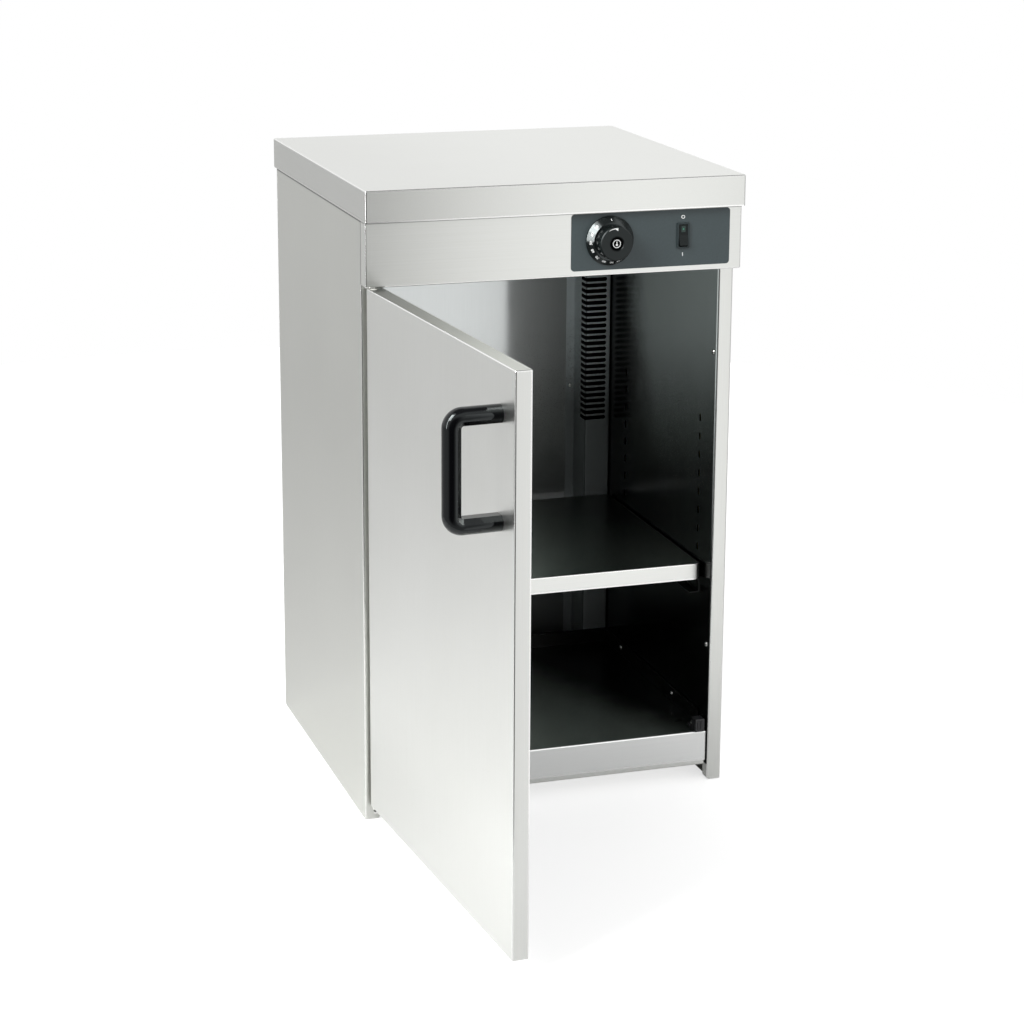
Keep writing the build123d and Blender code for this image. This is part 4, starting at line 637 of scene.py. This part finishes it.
# ------------------------------------------------------------------ finished pieces
def plain_mesh(holder):
    """Mesh of an object with its modifiers, or of a text; the object itself is removed."""
    bpy.context.scene.collection.objects.link(holder)
    mesh = bpy.data.meshes.new_from_object(holder.evaluated_get(bpy.context.evaluated_depsgraph_get()))
    holder.modifiers.clear()
    bpy.data.objects.remove(holder)
    return mesh


def finished(name, shape, material, body):
    """Object from a finished shape, riding on a body."""
    bmesh.ops.remove_doubles(shape, verts=shape.verts, dist=1e-7)
    bmesh.ops.recalc_face_normals(shape, faces=shape.faces)
    mesh = bpy.data.meshes.new(name)
    shape.to_mesh(mesh)
    shape.free()
    mesh.materials.clear()
    mesh.materials.append(material)
    piece = bpy.data.objects.new(name, mesh)
    bpy.context.scene.collection.objects.link(piece)
    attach(piece, body)
    return piece


# ------------------------------------------------------------------ print on the dial and control plate
def on_plate(middle, up=0.0, proud=0.0):
    """Place on the control plate: local X to the right, Y up and Z towards the user."""
    facing = Matrix(((1, 0, 0), (0, 0, -1), (0, 1, 0))).to_4x4()
    return Matrix.Translation(middle) @ facing @ Matrix.Translation((0.0, up, proud))


def on_skirt(turn, share):
    """Place on the dial's conical skirt, this far round to the left and up its slope; Y looks outwards."""
    radius, height = SKIRT_EDGE.lerp(SKIRT_TOP, share)
    slope = (SKIRT_EDGE - SKIRT_TOP).normalized()
    lean = Matrix.Rotation(-acos(slope.x), 4, "X")
    spot = Matrix.Translation((0, radius, height))
    return on_plate(DIAL_MIDDLE) @ Matrix.Rotation(turn, 4, "Z") @ spot @ lean


def letters(shape, words, size, place):
    """Adds words as thin raised ink, centred on a place."""
    curve = bpy.data.curves.new(words, "FONT")
    curve.body, curve.size, curve.extrude, curve.offset = words, size, INK, size * INK_SPREAD
    curve.align_x, curve.align_y, curve.resolution_u = "CENTER", "CENTER", 3
    mesh = plain_mesh(bpy.data.objects.new(words, curve))
    mesh.transform(place)
    shape.from_mesh(mesh)


def band(shape, place, start, end, inner, outer, steps):
    """Adds an arc-shaped band of ink; inner and outer are the radii at its start and its end."""
    whole = abs(end - start) >= 2 * pi - 0.001
    lift = Vector((0, 0, INK))
    rows = []
    for step in range(steps + (0 if whole else 1)):
        share = step / steps
        turn = start + (end - start) * share
        ray = Vector((-sin(turn), cos(turn), 0))
        near = ray * (inner[0] + (inner[1] - inner[0]) * share)
        far = ray * (outer[0] + (outer[1] - outer[0]) * share)
        corners = (near - lift, far - lift, far + lift, near + lift)
        rows.append([shape.verts.new(place @ corner) for corner in corners])
    for row, following in zip(rows, rows[1:] + rows[:1] if whole else rows[1:]):
        for side in range(4):
            after = (side + 1) % 4
            shape.faces.new((row[side], row[after], following[after], following[side]))
    if not whole:
        shape.faces.new(rows[0])
        shape.faces.new(list(reversed(rows[-1])))


def ring(shape, place, inner, outer, steps):
    """Adds a whole ring of ink."""
    band(shape, place, 0.0, 2 * pi, (inner, inner), (outer, outer), steps)


def make_dial_print():
    """Numbers on the skirt, the pointer on the knob's face and a ring with a thermometer in its dish."""
    shape = bmesh.new()
    for step in range(NUMBER_COUNT):
        place = on_skirt(FIRST_TURN + TURN_STEP * step, NUMBER_SHARE)
        letters(shape, str(FIRST_NUMBER + NUMBER_STEP * step), NUMBER_SIZE, place)
    face = on_plate(DIAL_MIDDLE, proud=KNOB_FACE)
    for stroke in POINTER:
        band(shape, face, *stroke)
    dish = on_plate(DIAL_MIDDLE, proud=DISH_FACE)
    ring(shape, dish, 0.0040, 0.0048, 40)
    ring(shape, dish @ Matrix.Translation((0, -BULB_DROP, 0)), 0.0002, 0.0013, 20)
    band(shape, dish @ Matrix.Translation((0, -STEM_DROP, 0)), *STEM)
    letters(shape, "I", MARK_SIZE, on_skirt(0.0, NUMBER_SHARE))
    finished("dial_print", shape, WHITE_PRINT, "dial")


def make_switch_print():
    """The two plain switch marks on the control plate."""
    shape = bmesh.new()
    letters(shape, "O", OFF_SIZE, on_plate(SWITCH_MIDDLE, OFF_HEIGHT))
    letters(shape, "I", ON_SIZE, on_plate(SWITCH_MIDDLE, ON_HEIGHT))
    finished("switch_print", shape, WHITE_PRINT, "cabinet")


# ------------------------------------------------------------------ screws, grown with Geometry Nodes
def geometry_tree(name, sockets):
    """Empty Geometry Nodes tree with named inputs and one geometry output."""
    tree = bpy.data.node_groups.new(name, "GeometryNodeTree")
    for label, kind in sockets.items():
        tree.interface.new_socket(label, in_out="INPUT", socket_type="NodeSocket" + kind)
    tree.interface.new_socket("Geometry", in_out="OUTPUT", socket_type="NodeSocketGeometry")
    return tree, add(tree, "NodeGroupInput").outputs, add(tree, "NodeGroupOutput").inputs


def moved(tree, geometry, **settings):
    """Geometry moved by its Translation or sized by its Scale."""
    return add(tree, "GeometryNodeTransform", {"Geometry": geometry, **settings}).outputs[0]


def cube(tree, **size):
    """Box of this size along X, Y and Z, about its own middle."""
    return add(tree, "GeometryNodeMeshCube", {"Size": combine(tree, **size)}).outputs["Mesh"]


def make_screw_tree():
    """A dome-head screw with a cross recess on each point of the seed, aimed by its 'aim' attribute."""
    lengths = ("Head Radius", "Head Height", "Shank Radius", "Shank Length", "Recess Width", "Recess Reach")
    sockets = {"Seats": "Geometry", **{name: "Float" for name in lengths}, "Material": "Material"}
    tree, given, made = geometry_tree("cross-recess screws", sockets)
    head_radius, head_height = given["Head Radius"], given["Head Height"]
    ball = add(tree, "GeometryNodeMeshUVSphere", {"Segments": 24, "Rings": 12, "Radius": 1.0}).outputs["Mesh"]
    dome = moved(tree, ball, Scale=combine(tree, X=head_radius, Y=head_radius, Z=head_height))
    wide = calc(tree, "MULTIPLY", head_radius, 4.0)
    below = combine(tree, Z=calc(tree, "MULTIPLY", wide, -0.5))
    cutters = [moved(tree, cube(tree, X=wide, Y=wide, Z=wide), Translation=below)]
    for along, over in (("X", "Y"), ("Y", "X")):
        bar = cube(tree, **{along: given["Recess Reach"], over: given["Recess Width"], "Z": head_height})
        cutters.append(moved(tree, bar, Translation=combine(tree, Z=head_height)))
    head = add(tree, "GeometryNodeMeshBoolean", {0: dome}, operation="DIFFERENCE")
    for cutter in cutters:
        tree.links.new(cutter, head.inputs[1])
    barrel = {"Vertices": 16, "Radius": given["Shank Radius"], "Depth": given["Shank Length"]}
    shank = add(tree, "GeometryNodeMeshCylinder", barrel).outputs["Mesh"]
    sunk = combine(tree, Z=calc(tree, "MULTIPLY", given["Shank Length"], -0.49))
    screw = add(tree, "GeometryNodeMeshBoolean", operation="UNION")
    for solid in (head.outputs[0], moved(tree, shank, Translation=sunk)):
        tree.links.new(solid, screw.inputs[1])
    aim = add(tree, "GeometryNodeInputNamedAttribute", {"Name": "aim"}, data_type="FLOAT_VECTOR").outputs[0]
    turn = add(tree, "FunctionNodeAlignRotationToVector", {"Vector": aim}, axis="Z").outputs[0]
    on_seats = {"Points": given["Seats"], "Instance": screw.outputs[0], "Rotation": turn}
    placed = add(tree, "GeometryNodeInstanceOnPoints", on_seats).outputs[0]
    whole = add(tree, "GeometryNodeRealizeInstances", {"Geometry": placed}).outputs[0]
    dressed = add(tree, "GeometryNodeSetMaterial", {"Geometry": whole, "Material": given["Material"]})
    tree.links.new(dressed.outputs[0], made["Geometry"])
    return tree


def grow(name, tree, seed, values):
    """Finished shape of a Geometry Nodes tree on a seed mesh."""
    holder = bpy.data.objects.new(name + " seed", seed)
    modifier = holder.modifiers.new("grow", "NODES")
    modifier.node_group = tree
    for item in tree.interface.items_tree:
        if item.in_out == "INPUT" and item.name in values:
            modifier[item.identifier] = values[item.name]
    shape = bmesh.new()
    shape.from_mesh(plain_mesh(holder))
    return shape


def screw_seats(node, axis, way, count):
    """Seat and aim of each screw of a CAD group, which stands on a regular grid."""
    low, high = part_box(node)
    rows = []
    for side in range(3):
        if side != axis:
            first, last = low[side] + HEAD_RADIUS, high[side] - HEAD_RADIUS
            steps = max(1, count[side] - 1)
            rows.append([(first + (last - first) * step / steps, 0) for step in range(count[side])])
        elif way == 0:
            rows.append([(low[side] + SHANK_LENGTH, 1), (high[side] - SHANK_LENGTH, -1)])
        else:
            rows.append([((high[side] - HEAD_HEIGHT) if way > 0 else (low[side] + HEAD_HEIGHT), way)])
    return [([part[0] for part in spot], [part[1] for part in spot]) for spot in product(*rows)]


def make_screws(tree, node, axis, way, count):
    """Detailed screws in place of a CAD group of them."""
    spots = screw_seats(node, axis, way, count)
    seed = bpy.data.meshes.new(node)
    seed.from_pydata([place for place, aim in spots], [], [])
    aims = seed.attributes.new("aim", "FLOAT_VECTOR", "POINT")
    for spot, (place, aim) in enumerate(spots):
        aims.data[spot].vector = aim
    sizes = {
        "Head Radius": HEAD_RADIUS,
        "Head Height": HEAD_HEIGHT,
        "Shank Radius": SHANK_RADIUS,
        "Shank Length": SHANK_LENGTH,
        "Recess Width": RECESS_WIDTH,
        "Recess Reach": RECESS_REACH,
        "Material": FINISH["screws"],
    }
    piece = finished(node + "_detailed", grow(node, tree, seed, sizes), FINISH["screws"], "cabinet")
    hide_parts(node)


make_dial_print()
make_switch_print()
screw_tree = make_screw_tree()
for group, layout in SCREW_GROUPS.items():
    make_screws(screw_tree, group, *layout)


# ------------------------------------------------------------------ floor, light and camera
FLOOR_MIDDLE, FLOOR_RADIUS = Vector((0.0, 0.7, -0.0003)), 1.7
FLOOR_GREY, FLOOR_ROUGHNESS = (0.62, 0.62, 0.62, 1), 0.9
FLOOR_SEEN = 0.66           # glow that the camera sees, so that the lit floor is white
# What the steel sees of the floor: the middle, core radius, outer radius and level of each bright patch.
FLOOR_GLOWS = [((-0.45, -0.35, 0.0), 0.15, 1.3, 0.07), ((0.22, -0.70, 0.0), 0.40, 0.85, 0.14)]
ROOM_SIDE = radians(-17.5)  # the dark side of the room, from straight in front towards the right
ROOM_EDGE, ROOM_CORE = radians(45), radians(21)
ROOM_LEVEL = 0.05
ZENITH_LEVEL = 0.2
ZENITH_EDGE, ZENITH_CORE = 0.78, 0.93  # heights, from 0 at the horizon to 1 straight up
UNDER_LEVEL = 0.58          # below the horizon
HORIZON = 0.12              # how far above and below it the grey fades out
# Soft lamps: name, place, target, width, height and power.
LAMPS = [
    ("key", (-1.5, -1.0, 2.6), (0.0, 0.0, 0.4), 1.0, 1.0, 12.0),
    ("front left", (-1.3, -1.0, 1.75), (-0.1, -0.4, 0.6), 0.70, 0.85, 23.0),
    ("white card", (0.44, -1.30, 0.40), (0.1, -0.2, 0.4), 0.62, 1.4, 1.95),
    ("edge strip", (-1.35, -0.80, 1.25), (0.0, -0.23, 0.7), 0.14, 1.7, 10.0),
]
CAMERA_PLACE = Vector((-0.94631, -2.98259, 1.19324))
CAMERA_YAW, CAMERA_PITCH, CAMERA_ROLL = radians(17.9634), radians(14.096), radians(0.299)
CAMERA_LENS, CAMERA_SENSOR, CAMERA_SHIFT = 91.62, 36.0, -0.08


def make_floor():
    """Round pale floor. It is white where it is lit and keeps the cabinet's shadow."""
    bpy.ops.mesh.primitive_circle_add(
        vertices=128, radius=FLOOR_RADIUS, fill_type="NGON", location=FLOOR_MIDDLE
    )
    floor = bpy.context.object
    floor.name = "studio floor"
    floor.data.transform(Matrix.Translation(FLOOR_MIDDLE))
    floor.location = (0, 0, 0)
    material, tree, shader = new_material("studio floor")
    place = here(tree)
    glow = 0.0
    for middle, core, rim, level in FLOOR_GLOWS:
        away = measure(tree, "DISTANCE", place, middle)
        glow = calc(tree, "ADD", spread(tree, away, core, rim, level, 0.0), glow)
    path = add(tree, "ShaderNodeLightPath").outputs
    glossy = calc(tree, "MULTIPLY", path["Is Glossy Ray"], glow)
    camera = calc(tree, "MULTIPLY", path["Is Camera Ray"], FLOOR_SEEN)
    glass = calc(tree, "MULTIPLY", path["Is Transmission Ray"], FLOOR_SEEN)
    strength = calc(tree, "ADD", calc(tree, "ADD", glossy, camera), glass)
    tree.links.new(strength, shader.inputs["Emission Strength"])
    shader.inputs["Emission Color"].default_value = (1, 1, 1, 1)
    shader.inputs["Base Color"].default_value = FLOOR_GREY
    shader.inputs["Roughness"].default_value = FLOOR_ROUGHNESS
    floor.data.materials.append(material)


def make_world():
    """White surroundings, greyer below the horizon and dark overhead and on one side of the room."""
    world = bpy.data.worlds.new("studio")
    bpy.context.scene.world = world
    world.use_nodes = True
    tree = world.node_tree
    tree.nodes.clear()
    toward = add(tree, "ShaderNodeTexCoord").outputs["Generated"]
    height = separate(tree, toward)["Z"]
    pale = spread(tree, height, -HORIZON, HORIZON, UNDER_LEVEL, 1.0)
    room = Vector((sin(ROOM_SIDE), -cos(ROOM_SIDE), 0.0))
    facing = measure(tree, "DOT_PRODUCT", toward, room)
    dim = spread(tree, facing, cos(ROOM_EDGE), cos(ROOM_CORE), 1.0, ROOM_LEVEL)
    zenith = spread(tree, height, ZENITH_EDGE, ZENITH_CORE, 1.0, ZENITH_LEVEL)
    level = calc(tree, "MULTIPLY", calc(tree, "MULTIPLY", pale, dim), zenith)
    path = add(tree, "ShaderNodeLightPath").outputs
    shown = blend(tree, path["Is Camera Ray"], level, 1.0)
    background = add(tree, "ShaderNodeBackground", {"Color": (1, 1, 1, 1), "Strength": shown})
    add(tree, "ShaderNodeOutputWorld", {"Surface": background.outputs[0]})


def softbox(name, place, target, width, height, power):
    """Soft area lamp aimed at a point."""
    lamp = bpy.data.lights.new(name, "AREA")
    lamp.shape = "RECTANGLE"
    lamp.size, lamp.size_y, lamp.energy = width, height, power
    holder = bpy.data.objects.new(name, lamp)
    holder.location = place
    holder.rotation_mode = "QUATERNION"
    holder.rotation_quaternion = (Vector(place) - Vector(target)).to_track_quat("Z", "Y")
    holder.visible_camera = False
    bpy.context.scene.collection.objects.link(holder)


def make_camera():
    """Camera at standing height, in front of the cabinet and to its left."""
    level = cos(CAMERA_PITCH)
    ahead = Vector((sin(CAMERA_YAW) * level, cos(CAMERA_YAW) * level, -sin(CAMERA_PITCH)))
    side = Vector((cos(CAMERA_YAW), -sin(CAMERA_YAW), 0))
    down = ahead.cross(side)
    right = cos(CAMERA_ROLL) * side - sin(CAMERA_ROLL) * down
    up = -(sin(CAMERA_ROLL) * side + cos(CAMERA_ROLL) * down)
    data = bpy.data.cameras.new("camera")
    data.sensor_width, data.lens, data.shift_y = CAMERA_SENSOR, CAMERA_LENS, CAMERA_SHIFT
    data.clip_start, data.clip_end = 0.1, 50.0
    camera = bpy.data.objects.new("camera", data)
    camera.matrix_world = Matrix.LocRotScale(CAMERA_PLACE, Matrix((right, up, -ahead)).transposed(), None)
    bpy.context.scene.collection.objects.link(camera)
    bpy.context.scene.camera = camera


make_floor()
make_world()
for lamp in LAMPS:
    softbox(*lamp)
make_camera()
bpy.context.scene.view_settings.view_transform = "Standard"
